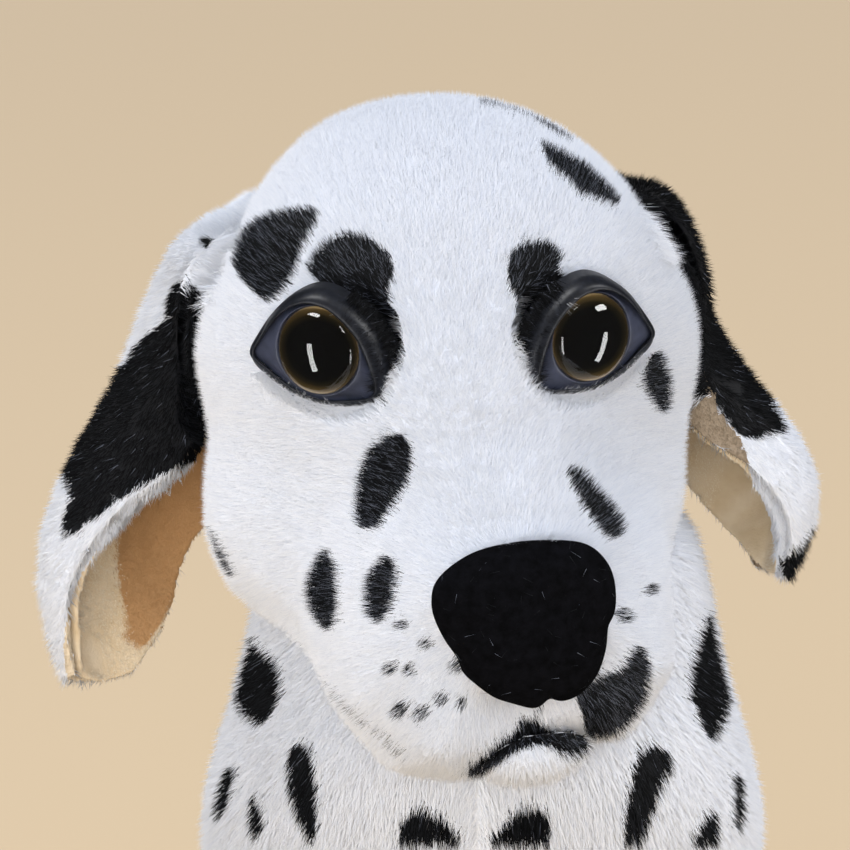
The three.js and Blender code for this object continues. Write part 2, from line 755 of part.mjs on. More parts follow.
// A closed layer of cloth between two offsets from the sheet, starting at the row given
function clothLayer(grid, normals, fromRow, inner, outer, side) {
  const rows = grid.length - fromRow;
  const columns = grid[0].length;
  const layer = (offset) =>
    grid
      .slice(fromRow)
      .flatMap((row, r) =>
        row.map((point, c) => point.clone().addScaledVector(normals[r + fromRow][c], side * offset)),
      );
  const points = [...layer(outer), ...layer(inner)];
  const index = [];
  const at = (sheet, r, c) => sheet * rows * columns + r * columns + c;
  const quad = (a, b, c, d) => index.push(a, b, c, a, c, d);
  for (let r = 0; r + 1 < rows; r++) {
    for (let c = 0; c + 1 < columns; c++) {
      quad(at(0, r, c), at(0, r, c + 1), at(0, r + 1, c + 1), at(0, r + 1, c));
      quad(at(1, r, c), at(1, r + 1, c), at(1, r + 1, c + 1), at(1, r, c + 1));
    }
  }
  for (let r = 0; r + 1 < rows; r++) {
    quad(at(0, r, 0), at(0, r + 1, 0), at(1, r + 1, 0), at(1, r, 0));
    quad(at(0, r + 1, columns - 1), at(0, r, columns - 1), at(1, r, columns - 1), at(1, r + 1, columns - 1));
  }
  for (let c = 0; c + 1 < columns; c++) {
    quad(at(0, 0, c + 1), at(0, 0, c), at(1, 0, c), at(1, 0, c + 1));
    quad(at(0, rows - 1, c), at(0, rows - 1, c + 1), at(1, rows - 1, c + 1), at(1, rows - 1, c));
  }
  const geometry = new THREE.BufferGeometry().setFromPoints(points);
  geometry.setIndex(index);
  return facingOut(geometry);
}

// The cloth's edge is rolled into the seam, so the seam is as thick as the cloth each way
const seamRadius = ear.outerThickness;

// The groove that the seam lies in, opened outward over the angle that the ear swings through,
// and longer than the seam by this share because the cloth widens below it
const earRoomShare = 1.35;
const earReachShare = 6;

function seamRoom(side) {
  const ends = ear.seamLength / 2 + clearance;
  const groove = seamRadius + clearance;
  const reach = groove * earReachShare;
  const spread = ends * earRoomShare;
  const lowest = degrees(-earRaise.slack - 90);
  const highest = degrees(earRaise.farthest + earRaise.slack);
  const shape = new THREE.Shape();
  shape.moveTo(0, 0);
  shape.absarc(0, 0, reach, lowest, highest, false);
  shape.closePath();
  const swing = new THREE.ExtrudeGeometry(shape, {
    depth: spread * 2,
    curveSegments: facetCounts.bore,
    bevelEnabled: false,
  })
    .translate(0, 0, -spread)
    .rotateX(Math.PI / 2);
  if (side < 0) swing.rotateZ(Math.PI);
  const round = new THREE.CylinderGeometry(groove, groove, ends * 2, facetCounts.bore);
  return geometryOf(solid(round).add(solid(swing)));
}

for (const [name, side] of Object.entries(sides)) {
  const group = new THREE.Group();
  const inside = new THREE.Vector3(0, earRoot.behind, earRoot.above);
  const sideways = new THREE.Vector3(side, 0, 0);
  const aside = skinAlong(skullField, inside, sideways, skull.halfWidth * 2);
  group.position.copy(inside).addScaledVector(sideways, aside);
  group.rotation.set(-degrees(earRoot.slope), 0, side * degrees(earRoot.turn), "ZXY");
  headGroup.add(group);
  group.updateMatrixWorld(true);

  const grid = earPoints(side, earHangShares[name], group.matrix);
  const normals = sheetNormals(grid);
  const outerCloth = clothLayer(grid, normals, 0, 0, ear.outerThickness, side);
  const liningCloth = clothLayer(
    grid,
    normals,
    2,
    -clearance - ear.liningThickness,
    -clearance,
    side,
  );
  const seam = new THREE.CylinderGeometry(
    seamRadius,
    seamRadius,
    ear.seamLength,
    facetCounts.bore,
  );
  place(group, `ear_${name}_outer`, join(outerCloth, seam), whitePlush);
  place(group, `ear_${name}_lining`, liningCloth, velourLining);
  headCutters.push(inFrameOf(headGroup, seamRoom(side), group));
}

// The head is cut for its eyes and nose and for the neck that it turns on
const headSolid = cut(headForm(0), inFrameOf(headGroup, torsoForm(clearance)), ...headCutters);
place(headGroup, "head", headSolid, whitePlush);

// Chin
const chinCentre = new THREE.Vector3(chin.aside, -chin.forward, -muzzle.drop * 1.17);
const chinField = lumpField(
  [{ at: chinCentre.toArray(), radii: [chin.halfWidth, chin.halfLength, chin.halfHeight] }],
  skull.blend,
);
const chinForm = stuffed(chinField, chinCentre, chin.halfLength * 2, facetCounts.chinDetail);
place(headGroup, "chin", cut(chinForm, headForm(clearance)), whitePlush);

export default dog;
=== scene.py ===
"""Dresses a sitting plush dog in pile, spots, eyes, nose and lined ears. Metres, in the model's frame."""

import json
import math

import bmesh
import bpy
import numpy as np
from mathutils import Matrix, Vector
from mathutils.bvhtree import BVHTree


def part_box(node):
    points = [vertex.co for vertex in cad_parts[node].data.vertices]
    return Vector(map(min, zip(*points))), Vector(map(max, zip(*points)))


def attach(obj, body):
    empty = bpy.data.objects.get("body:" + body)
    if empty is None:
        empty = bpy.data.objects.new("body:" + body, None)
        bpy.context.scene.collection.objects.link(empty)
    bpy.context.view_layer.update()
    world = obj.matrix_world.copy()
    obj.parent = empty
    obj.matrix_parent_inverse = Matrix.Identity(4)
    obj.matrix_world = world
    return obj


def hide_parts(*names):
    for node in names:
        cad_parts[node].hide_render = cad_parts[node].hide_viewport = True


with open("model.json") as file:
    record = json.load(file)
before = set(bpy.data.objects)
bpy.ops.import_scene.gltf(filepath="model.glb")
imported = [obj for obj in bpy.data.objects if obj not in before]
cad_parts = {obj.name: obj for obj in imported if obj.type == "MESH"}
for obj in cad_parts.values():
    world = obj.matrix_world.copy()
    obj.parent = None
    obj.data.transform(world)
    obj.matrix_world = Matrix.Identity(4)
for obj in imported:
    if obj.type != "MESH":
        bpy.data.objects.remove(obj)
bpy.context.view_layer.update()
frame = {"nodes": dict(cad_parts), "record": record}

MM = 0.001
NODES = frame["nodes"]
SIDES = {"left": 1, "right": -1}
BODY_OF = {node: body for body, nodes in frame["record"]["behaviour"]["bodies"].items() for node in nodes}

# Camera: the photograph's view, with pixels counted in its 850 by 850 frame
PHOTO_PIXELS = 850
FOCAL_PIXELS = 2817
EYES_PIXEL = (455, 345)
EYES_MIDDLE = Vector((-6.5, -126.0, 290.0)) * MM
CAMERA_AWAY = 600 * MM
CAMERA_ABOVE = math.radians(11)
SENSOR_WIDTH = 36

look = Vector((0, math.cos(CAMERA_ABOVE), -math.sin(CAMERA_ABOVE)))
eye_point = EYES_MIDDLE - look * CAMERA_AWAY
camera_right = Vector((1, 0, 0))
camera_up = camera_right.cross(look)


def make_camera():
    data = bpy.data.cameras.new("photo_camera")
    camera = bpy.data.objects.new("photo_camera", data)
    bpy.context.scene.collection.objects.link(camera)
    data.sensor_width = SENSOR_WIDTH
    data.lens = FOCAL_PIXELS / PHOTO_PIXELS * SENSOR_WIDTH
    data.shift_x = (PHOTO_PIXELS / 2 - EYES_PIXEL[0]) / PHOTO_PIXELS
    data.shift_y = (EYES_PIXEL[1] - PHOTO_PIXELS / 2) / PHOTO_PIXELS
    camera.location = eye_point
    camera.rotation_mode = "QUATERNION"
    camera.rotation_quaternion = look.to_track_quat("-Z", "Y")
    bpy.context.scene.camera = camera


def in_photo(points):
    """Where the photograph shows the points: columns and rows of pixels."""
    away = points - np.array(eye_point)
    depth = away @ np.array(look)
    across = EYES_PIXEL[0] + FOCAL_PIXELS * (away @ np.array(camera_right)) / depth
    down = EYES_PIXEL[1] - FOCAL_PIXELS * (away @ np.array(camera_up)) / depth
    return np.stack([across, down], axis=1)


def from_photo(pixel, through, facing):
    """The point that a pixel shows on the plane through a point, square to a direction."""
    across = (pixel[0] - EYES_PIXEL[0]) / FOCAL_PIXELS
    up = (EYES_PIXEL[1] - pixel[1]) / FOCAL_PIXELS
    ray = look + camera_right * across + camera_up * up
    return eye_point + ray * ((through - eye_point).dot(facing) / ray.dot(facing))


make_camera()


# Materials
def linear(hex_colour):
    shares = [int(hex_colour[i : i + 2], 16) / 255 for i in (1, 3, 5)]
    return (*[s / 12.92 if s <= 0.04045 else ((s + 0.055) / 1.055) ** 2.4 for s in shares], 1.0)


def add_node(tree, kind, settings=None, inputs=None):
    """Adds a node, sets its settings, and sets or links its inputs."""
    node = tree.nodes.new(kind)
    for name, value in (settings or {}).items():
        setattr(node, name, value)
    for name, value in (inputs or {}).items():
        if isinstance(value, bpy.types.NodeSocket):
            tree.links.new(value, node.inputs[name])
        else:
            node.inputs[name].default_value = value
    return node


def new_material(name, colour, **sockets):
    """A material with one Principled shader, whose sockets are given by their names."""
    material = bpy.data.materials.new(name)
    material.use_nodes = True
    shader = material.node_tree.nodes["Principled BSDF"]
    shader.inputs["Base Color"].default_value = linear(colour)
    for socket, value in sockets.items():
        shader.inputs[socket.replace("_", " ")].default_value = value
    material.diffuse_color = linear(colour)
    return material, material.node_tree, shader


def object_noise(tree, scale_mm, detail=3.0, roughness=0.6):
    """Noise whose largest grain is about so many millimetres."""
    place = add_node(tree, "ShaderNodeTexCoord")
    return add_node(
        tree,
        "ShaderNodeTexNoise",
        inputs={
            "Vector": place.outputs["Object"],
            "Scale": 1 / (scale_mm * MM),
            "Detail": detail,
            "Roughness": roughness,
        },
    )


def bump_from(tree, shader, height, depth_mm):
    bump = add_node(tree, "ShaderNodeBump", inputs={"Height": height, "Distance": depth_mm * MM, "Strength": 1.0})
    tree.links.new(bump.outputs["Normal"], shader.inputs["Normal"])


def colour_between(tree, shader, factor, low, high, from_share=0.35, to_share=0.65):
    ramp = add_node(tree, "ShaderNodeValToRGB", inputs={"Fac": factor})
    ramp.color_ramp.elements[0].position = from_share
    ramp.color_ramp.elements[0].color = linear(low)
    ramp.color_ramp.elements[1].position = to_share
    ramp.color_ramp.elements[1].color = linear(high)
    tree.links.new(ramp.outputs["Color"], shader.inputs["Base Color"])
    return ramp


def acrylic_pile(name, colour, roughness, sheen, glint=0.25):
    """Acrylic plush fibre: soft and dull, with a faint glint along each fibre."""
    return new_material(name, colour, Roughness=roughness, Sheen_Weight=sheen, Specular_IOR_Level=glint)[0]


WHITE_PILES = [
    acrylic_pile("acrylic_pile_white", "#F3F5F9", 0.8, 0.15),
    acrylic_pile("acrylic_pile_white_soft", "#ECEFF5", 0.85, 0.15),
    acrylic_pile("acrylic_pile_white_shade", "#E3E7EF", 0.9, 0.1),
]
BLACK_PILES = [
    acrylic_pile("acrylic_pile_black", "#08090B", 0.7, 0.0, 0.1),
    acrylic_pile("acrylic_pile_black_soft", "#15171B", 0.6, 0.0, 0.15),
    # Grey-blue fibres that stand in for glints of light on the black pile: painted highlight
    acrylic_pile("acrylic_pile_black_painted_glint", "#565B68", 0.5, 0.1, 0.4),
]
TAN_PILES = [
    acrylic_pile("velour_pile_tan", "#EFDFC4", 0.85, 0.1),
    acrylic_pile("velour_pile_tan_soft", "#EAD9BB", 0.85, 0.1),
    acrylic_pile("velour_pile_tan_pale", "#F2E5CE", 0.85, 0.1),
    # The last two tans are painted shade: darker fibres where the fold shades the lining
    acrylic_pile("velour_pile_tan_fold_shade", "#C49A69", 0.85, 0.1),
    acrylic_pile("velour_pile_tan_fold_shade_deep", "#BC9060", 0.85, 0.1),
]
COAT_PILES = WHITE_PILES + BLACK_PILES
# The hems' velour, darker where the photograph has it in the ear's own shade
HEM_COLOURS = {"right": ("#CDBB9D", "#DAC9AE"), "left": ("#877761", "#978671")}
HEM_PILES = {
    side: [acrylic_pile(f"velour_pile_hem_{side}_{k}", pair[k % 2], 0.85, 0.1) for k in range(3)]
    for side, pair in HEM_COLOURS.items()
}


def knitted_backing():
    """Knitted plush backing, dyed as the pile above it is: a fine loop grain, white or black by the coat attribute."""
    material, tree, shader = new_material("knitted_backing", "#E6EAF1", Roughness=0.95)
    coat = add_node(tree, "ShaderNodeAttribute", {"attribute_name": "coat"})
    grain = object_noise(tree, 0.9)
    white = add_node(
        tree,
        "ShaderNodeMix",
        {"data_type": "RGBA"},
        {0: grain.outputs["Fac"], 6: linear("#D9DEE8"), 7: linear("#F2F4F8")},
    )
    dyed = add_node(
        tree,
        "ShaderNodeMix",
        {"data_type": "RGBA"},
        {0: coat.outputs["Fac"], 6: white.outputs[2], 7: linear("#121317")},
    )
    tree.links.new(dyed.outputs[2], shader.inputs["Base Color"])
    bump_from(tree, shader, grain.outputs["Fac"], 0.25)
    return material


def velour_backing(name, low, high):
    """Short tan velour: a fine nap with soft uneven patches, and a darker tan painted where the fold shades it."""
    material, tree, shader = new_material(name, low, Roughness=0.9, Sheen_Weight=0.1)
    patches = object_noise(tree, 9.0)
    # Painted shade: the darker tan where the fold shades the lining
    fold_shade = add_node(tree, "ShaderNodeAttribute", {"attribute_name": "fold_shade"})
    ramp = colour_between(tree, shader, patches.outputs["Fac"], low, high)
    colour = add_node(
        tree,
        "ShaderNodeMix",
        {"data_type": "RGBA"},
        {0: fold_shade.outputs["Fac"], 6: ramp.outputs["Color"], 7: linear("#BC9060")},
    )
    tree.links.new(colour.outputs[2], shader.inputs["Base Color"])
    bump_from(tree, shader, object_noise(tree, 0.6).outputs["Fac"], 0.15)
    return material


def moulded_vinyl():
    """Satin black vinyl, moulded: an even gloss with a faint orange peel."""
    material, tree, shader = new_material("moulded_vinyl_black", "#0C0D10", Roughness=0.42, Specular_IOR_Level=0.3)
    peel = object_noise(tree, 1.4)
    colour_between(tree, shader, peel.outputs["Fac"], "#13151B", "#1D2028")
    bump_from(tree, shader, peel.outputs["Fac"], 0.03)
    return material


def slate_plastic():
    """Moulded slate plastic of the eye's white: glossy, a little cloudy."""
    material, tree, shader = new_material("moulded_slate_plastic", "#383C4C", Roughness=0.35, Specular_IOR_Level=0.3)
    cloud = object_noise(tree, 5.0)
    colour_between(tree, shader, cloud.outputs["Fac"], "#2D313E", "#3A3F51")
    return material


def clear_acrylic():
    """Clear cast acrylic: polished, so it shows the lights as small sharp glints."""
    return new_material(
        "clear_cast_acrylic",
        "#FFFFFF",
        Roughness=0.01,
        IOR=1.49,
        Transmission_Weight=1.0,
        Specular_IOR_Level=0.3,
    )[0]


def iris_paint(name, centre):
    """Lacquer on the back of the dome: a black pupil, a dark brown ring and a golden rim."""
    material, tree, shader = new_material(name, "#3A2C14", Roughness=0.6, Specular_IOR_Level=0.05)
    place = add_node(tree, "ShaderNodeTexCoord")
    away = add_node(
        tree,
        "ShaderNodeVectorMath",
        {"operation": "DISTANCE"},
        {0: place.outputs["Object"], 1: centre},
    )
    share = add_node(
        tree,
        "ShaderNodeMath",
        {"operation": "DIVIDE"},
        {0: away.outputs["Value"], 1: IRIS_RADIUS},
    )
    ramp = add_node(tree, "ShaderNodeValToRGB", inputs={"Fac": share.outputs[0]})
    stops = [(0.0, "#020203"), (0.7, "#030303"), (0.82, "#1F1A0D"), (0.91, "#4C3F24"), (0.95, "#6E5A36"),
             (0.98, "#A08C64"), (1.0, "#B4A179")]
    elements = ramp.color_ramp.elements
    elements[0].position, elements[0].color = stops[0][0], linear(stops[0][1])
    elements[1].position, elements[1].color = stops[-1][0], linear(stops[-1][1])
    for position, colour in stops[1:-1]:
        elements.new(position).color = linear(colour)
    tree.links.new(ramp.outputs["Color"], shader.inputs["Base Color"])
    return material


def flocked_nose():
    """Black nylon flock on a moulded nose: deep and matt, with faint uneven patches."""
    material, tree, shader = new_material(
        "nylon_flock_black", "#030303", Roughness=1.0, Sheen_Weight=0.0, Specular_IOR_Level=0.03
    )
    lint = object_noise(tree, 2.2, detail=5.0)
    colour_between(tree, shader, lint.outputs["Fac"], "#050506", "#0B0B0E")
    bump_from(tree, shader, object_noise(tree, 0.35).outputs["Fac"], 0.12)
    return material


def natural_nylon():
    """Natural nylon washers, moulded: waxy and off-white."""
    material, tree, shader = new_material("natural_nylon", "#E4E0D4", Roughness=0.5)
    colour_between(tree, shader, object_noise(tree, 3.0).outputs["Fac"], "#DAD6CA", "#ECE9DE")
    return material


# Pieces
def link(name, mesh, *materials):
    piece = bpy.data.objects.new(name, mesh)
    bpy.context.scene.collection.objects.link(piece)
    for material in materials:
        mesh.materials.append(material)
    return piece


def finished(piece):
    """Applies the piece's modifiers to its mesh."""
    bpy.context.view_layer.update()
    graph = bpy.context.evaluated_depsgraph_get()
    mesh = bpy.data.meshes.new_from_object(piece.evaluated_get(graph))
    piece.modifiers.clear()
    old = piece.data
    piece.data = mesh
    bpy.data.meshes.remove(old)
    mesh.name = piece.name
    return piece


def smooth_faces(mesh):
    mesh.polygons.foreach_set("use_smooth", np.ones(len(mesh.polygons), bool))


def numbers(items, name, width, kind=float):
    found = np.empty(len(items) * width, kind)
    items.foreach_get(name, found)
    return found.reshape(-1, width)


def skin_over(node, name, voxel, inset, smoothing, material, filled_by=()):
    """A smooth copy of a node's solid with even faces, set in by the depth of its pile."""
    shape = bmesh.new()
    for part in (node, *filled_by):
        shape.from_mesh(NODES[part].data)
    bmesh.ops.remove_doubles(shape, verts=shape.verts, dist=1e-6)
    mesh = bpy.data.meshes.new(name)
    shape.to_mesh(mesh)
    shape.free()
    piece = link(name, mesh, material)
    even = piece.modifiers.new("even_faces", "REMESH")
    even.mode = "VOXEL"
    even.voxel_size = voxel
    soft = piece.modifiers.new("soft", "SMOOTH")
    soft.factor = 0.5
    soft.iterations = smoothing
    fewer = piece.modifiers.new("fewer", "DECIMATE")
    fewer.ratio = 0.5
    set_in = piece.modifiers.new("set_in", "DISPLACE")
    set_in.mid_level = 0
    set_in.strength = -inset
    finished(piece)
    smooth_faces(piece.data)
    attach(piece, BODY_OF[node])
    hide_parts(node)
    return piece


def solids_tree(leave_out=()):
    """A search tree of every solid but the ones left out."""
    corners, faces = [], []
    for node, solid in NODES.items():
        if node in leave_out:
            continue
        start = len(corners)
        corners += [v.co.copy() for v in solid.data.vertices]
        faces += [[start + i for i in p.vertices] for p in solid.data.polygons]
    return BVHTree.FromPolygons(corners, faces)


LOOKOUTS = [(0.0, 0.0), (0.9, 0.0), (0.9, 1.57), (0.9, 3.14), (0.9, 4.71)]  # tilt and turn, radians


def open_faces(mesh, others, own, reach, crevice):
    """True for each face from which some direction sees past every other solid."""
    found = np.zeros(len(mesh.polygons), bool)
    lift = 0.3 * MM
    for i, face in enumerate(mesh.polygons):
        normal = face.normal
        start = face.center + normal * lift
        if others.ray_cast(start, normal, crevice)[0] is not None:
            continue
        side = normal.orthogonal().normalized()
        other_side = normal.cross(side)
        for tilt, turn in LOOKOUTS:
            flat = side * math.cos(turn) + other_side * math.sin(turn)
            way = normal * math.cos(tilt) + flat * math.sin(tilt)
            if others.ray_cast(start, way, reach)[0] is None and own.ray_cast(start, way, reach)[0] is None:
                found[i] = True
                break
    return found


# Spots: outlines in the photograph's pixels, and seeded ones where it doesn't look
def rounded(outline, steps=5):
    """A smooth closed curve through the outline's points."""
    points = np.array(outline, float)
    before, after, beyond = np.roll(points, 1, 0), np.roll(points, -1, 0), np.roll(points, -2, 0)
    curve = []
    for t in np.arange(steps) / steps:
        curve.append(
            0.5
            * (
                2 * points
                + (after - before) * t
                + (2 * before - 5 * points + 4 * after - beyond) * t**2
                + (3 * points - before - 3 * after + beyond) * t**3
            )
        )
    return np.stack(curve, axis=1).reshape(-1, 2)


def within(places, outline):
    """True for each place inside the closed outline."""
    inside = np.zeros(len(places), bool)
    low, high = outline.min(0), outline.max(0)
    near = np.all((places > low) & (places < high), axis=1)
    x, y = places[near, 0], places[near, 1]
    crossed = np.zeros(len(x), bool)
    for (x0, y0), (x1, y1) in zip(outline, np.roll(outline, -1, 0)):
        if y0 == y1:
            continue
        crossed ^= ((y0 > y) != (y1 > y)) & (x < (x1 - x0) * (y - y0) / (y1 - y0) + x0)
    inside[near] = crossed
    return inside


def near_line(places, line, reach):
    """True for each place within reach of an open line of points."""
    found = np.zeros(len(places), bool)
    for start, end in zip(np.array(line[:-1], float), np.array(line[1:], float)):
        along = end - start
        share = np.clip(((places - start) @ along) / (along @ along), 0, 1)
        found |= np.linalg.norm(places - start - share[:, None] * along, axis=1) < reach
    return found


HEAD_SPOTS = {
    "forehead_left": [(232, 261), (240, 233), (261, 215), (289, 207), (316, 207), (315, 221), (301, 245),
                      (295, 264), (280, 291), (263, 299), (246, 285), (235, 270)],
    "brow_left": [(306, 267), (313, 251), (329, 236), (353, 230), (374, 239), (390, 254), (393, 276),
                  (387, 291), (396, 322), (400, 346), (397, 362), (386, 377), (381, 397), (366, 404),
                  (340, 404), (330, 380), (340, 330), (322, 288)],
    "brow_right": [(508, 267), (515, 247), (534, 239), (552, 241), (564, 254), (560, 268), (575, 290),
                   (560, 330), (560, 388), (549, 392), (540, 384), (533, 365), (521, 340), (519, 310),
                   (512, 288)],
    "outer_right": [(644, 380), (650, 360), (662, 350), (671, 374), (673, 392), (667, 414), (656, 404)],
    "forehead_right": [(540, 140), (550, 143), (572, 154), (591, 167), (607, 182), (620, 197), (616, 204),
                       (594, 196), (581, 191), (570, 180), (554, 167), (546, 154)],
    "crown": [(479, 101), (500, 100), (540, 116), (572, 138), (560, 134), (520, 112)],
    "bridge_left": [(394, 432), (409, 445), (410, 465), (404, 485), (389, 507), (377, 524), (362, 528),
                    (353, 519), (354, 500), (357, 475), (369, 447)],
    "cheek_outer": [(322, 549), (332, 562), (336, 594), (334, 619), (326, 631), (312, 616), (305, 597),
                    (307, 574)],
    "cheek_inner": [(384, 554), (394, 569), (392, 592), (387, 611), (377, 625), (364, 614), (362, 594),
                    (366, 574)],
    "muzzle_right": [(568, 465), (585, 470), (600, 487), (617, 507), (627, 527), (618, 537), (605, 533),
                     (592, 515), (578, 492)],
    "lip_right": [(640, 646), (650, 657), (653, 676), (646, 703), (631, 724), (613, 738), (589, 738),
                  (582, 713), (579, 694), (602, 676), (622, 670)],
    "lips": [(468, 771), (489, 752), (511, 736), (524, 722), (536, 722), (559, 738), (567, 746), (540, 746),
             (518, 753), (498, 768), (479, 779)],
    "neck_left": [(207, 527), (214, 537), (222, 552), (233, 576), (224, 570)],
}
HEAD_FRECKLES = [(627, 615, 8), (653, 589, 6), (399, 625, 6), (424, 645, 6), (387, 669, 7), (407, 671, 6),
                 (397, 712, 8), (420, 715, 8), (439, 701, 7), (461, 705, 6), (455, 668, 8)]
LIP_LINES = [
    [(563, 746), (590, 747), (613, 745), (640, 728)],
    [(294, 645), (318, 676), (334, 698), (359, 721), (402, 758)],
    [(541, 704), (533, 724)],
]
CHEST_SPOTS = {
    "chest_far_left": [(243, 628), (259, 651), (277, 671), (275, 707), (257, 727), (239, 711), (234, 690),
                       (236, 655)],
    "chest_left": [(287, 752), (298, 746), (309, 752), (314, 790), (316, 835), (309, 846), (297, 824),
                   (286, 788)],
    "shoulder_left": [(229, 766), (233, 776), (226, 806), (217, 822), (214, 806), (220, 780)],
    "chest_low_left": [(249, 799), (257, 803), (261, 830), (255, 843), (248, 832)],
    "bib_left": [(400, 830), (408, 816), (420, 812), (436, 818), (455, 834), (460, 850), (450, 872), (415, 876),
                 (400, 856)],
    "bib_right": [(548, 815), (530, 811), (512, 819), (496, 837), (490, 856), (505, 876), (538, 872),
                  (550, 845)],
    "chest_right": [(640, 755), (655, 747), (672, 757), (672, 775), (660, 800), (647, 837), (636, 856),
                    (625, 850), (627, 815), (633, 780)],
    "chest_far_right": [(712, 610), (724, 640), (731, 690), (727, 720), (713, 742), (700, 720), (692, 691),
                        (698, 650)],
    "shoulder_right": [(735, 776), (743, 780), (745, 810), (742, 832), (736, 825)],
    "low_right": [(716, 812), (720, 835), (712, 868), (690, 872), (694, 842), (706, 822)],
}
LEFT_OF_PHOTO_EAR = {
    "ear_patch": [(165, 300), (178, 281), (186, 300), (192, 284), (200, 300), (203, 360), (210, 400), (217, 434),
                  (206, 454), (190, 465), (160, 478), (130, 494), (100, 515), (68, 538), (60, 530), (66, 500),
                  (60, 470), (68, 436), (84, 400), (94, 372), (112, 368), (125, 362), (133, 346), (152, 330),
                  (164, 320)],
    "ear_dot": [(200, 240), (206, 236), (211, 242), (206, 250)],
}
RIGHT_OF_PHOTO_EAR = {
    "ear_patch": [(608, 150), (650, 150), (694, 185), (714, 260), (728, 330), (766, 385), (788, 430), (779, 433),
                  (762, 440), (745, 438), (733, 428), (719, 409), (702, 402), (680, 384), (682, 350), (668, 290),
                  (646, 226), (618, 186)],
    "ear_tip": [(780, 565), (800, 552), (824, 520), (826, 560), (812, 586), (790, 584)],
}
# Where the fold shades the lining: painted shade, as a darker tan nap and backing
FOLD_SHADE_LINING = [(215, 440), (150, 486), (124, 512), (116, 545), (122, 600), (130, 645), (150, 640), (180, 590),
                  (205, 540), (222, 480)]
FOLD_SHADE = rounded(FOLD_SHADE_LINING)
# Where the outer cloth's pile wraps round the ear's front edge, by the dog's own side
EAR_FOLDS = {
    "right": [(160, 215), (218, 215), (226, 330), (226, 440), (205, 456), (184, 440), (172, 330)],
    "left": [(650, 200), (700, 200), (716, 330), (720, 390), (700, 412), (672, 400), (680, 300)],
}
# Where velour shows, past the lining's own edge too, as its cloth rolls over the hem
EAR_LINED = {
    "right": [(209, 424), (203, 440), (190, 466), (161, 490), (138, 507), (121, 527), (102, 545), (87, 565),
              (77, 583), (71, 601), (66, 625), (64, 642), (65, 660), (68, 680), (76, 700), (110, 700),
              (150, 660), (190, 590), (214, 500), (222, 440)],
    "left": [(700, 366), (707, 382), (713, 395), (721, 413), (735, 432), (744, 446), (749, 466), (755, 487),
             (764, 504), (771, 521), (774, 538), (776, 555), (775, 571), (764, 596), (730, 600), (690, 540),
             (664, 470), (660, 420), (672, 380)],
}
# The front edge of each outer cloth and the head's side by it, whose pile hides the gap between them
EAR_SEAMS = {
    "right": [(236, 232), (222, 237), (209, 247), (198, 259), (189, 274), (184, 292), (184, 330), (186, 385),
              (190, 436)],
    "left": [(640, 192), (656, 206), (672, 228), (690, 262), (699, 300), (706, 345), (707, 392)],
}
HEAD_SEAMS = {
    "right": [(240, 244), (230, 256), (221, 274), (213, 298)],
    "left": [(634, 208), (646, 228), (658, 252)],
}
# The top of the ear's root that stands beside the crown in the photograph
EAR_ROOTS = {"right": [(250, 198), (234, 208), (218, 220), (204, 234), (194, 250)]}
ROOT_FIBRES = 6000
ROOT_SPREAD = 7.0
SEAM_FIBRES = 9000
HEAD_SEAM_FIBRES = 3500
SEAM_SPREAD = 2.5
LIP_EDGE = [(548, 724), (575, 728), (612, 736), (612, 750), (575, 752), (548, 744)]
SPOTS_OF = {
    "head": HEAD_SPOTS,
    "chin": {"lips": HEAD_SPOTS["lips"], "lip_edge": LIP_EDGE},
    "torso": CHEST_SPOTS,
    "ear_right_outer": LEFT_OF_PHOTO_EAR,
    "ear_left_outer": RIGHT_OF_PHOTO_EAR,
}
NOSE_OUTLINE = [(430, 597), (433, 583), (446, 568), (474, 551), (510, 542), (545, 539), (576, 540), (594, 547),
                (607, 561), (613, 576), (615, 594), (613, 612), (607, 622), (606, 635), (604, 650), (597, 671),
                (586, 686), (573, 696), (558, 700), (547, 696), (540, 704), (530, 707), (510, 702), (492, 696),
                (474, 683), (461, 671), (457, 658), (446, 643), (437, 627), (431, 611)]
# Pile roots as far in under the nose's edge as this share of its outline
UNDER_NOSE_SHARE = 0.93
# How far round from the camera's side the photograph's outlines are used, as a cosine: all round the thin ears
PHOTO_FACING_SHARE = 0.1
EAR_FACING_SHARE = -1.1
# From this far round, the seeded spots show
HIDDEN_FACING_SHARE = -0.2


def lined_with_velour(side, points, normals):
    facing = seen_in_photo(points, normals, share=HIDDEN_FACING_SHARE)
    return facing & within(in_photo(points), rounded(EAR_LINED[side]))


def seen_in_photo(points, normals, margin=0, share=PHOTO_FACING_SHARE):
    """True for each point on the camera's side and inside the photograph's frame."""
    to_camera = np.array(eye_point) - points
    to_camera /= np.linalg.norm(to_camera, axis=1, keepdims=True)
    facing = np.einsum("ij,ij->i", normals, to_camera) > share
    pixels = in_photo(points)
    return facing & np.all((pixels > -margin) & (pixels < PHOTO_PIXELS + margin), axis=1)


def scattered_spots(node, centres, normals, comb, spacing, rng):
    """Long spots at least so far apart, on the sides that the photograph doesn't show."""
    free = ~seen_in_photo(centres, normals, margin=40, share=-0.3)
    chosen = []
    for i in rng.permutation(np.flatnonzero(free)):
        if all(np.linalg.norm(centres[i] - centres[k]) > spacing for k in chosen):
            chosen.append(i)
    spots = []
    for i in chosen:
        along = comb[i] - normals[i] * (comb[i] @ normals[i])
        along /= max(np.linalg.norm(along), 1e-9)
        across = np.cross(normals[i], along)
        turn = rng.uniform(-0.6, 0.6)
        axis = along * math.cos(turn) + across * math.sin(turn)
        half_long = spacing * rng.uniform(0.24, 0.38)
        half_wide = half_long * rng.uniform(0.5, 0.75)
        wave = rng.uniform(0, 2 * math.pi)
        spots.append((centres[i], normals[i], axis, half_long, half_wide, wave))
    return spots


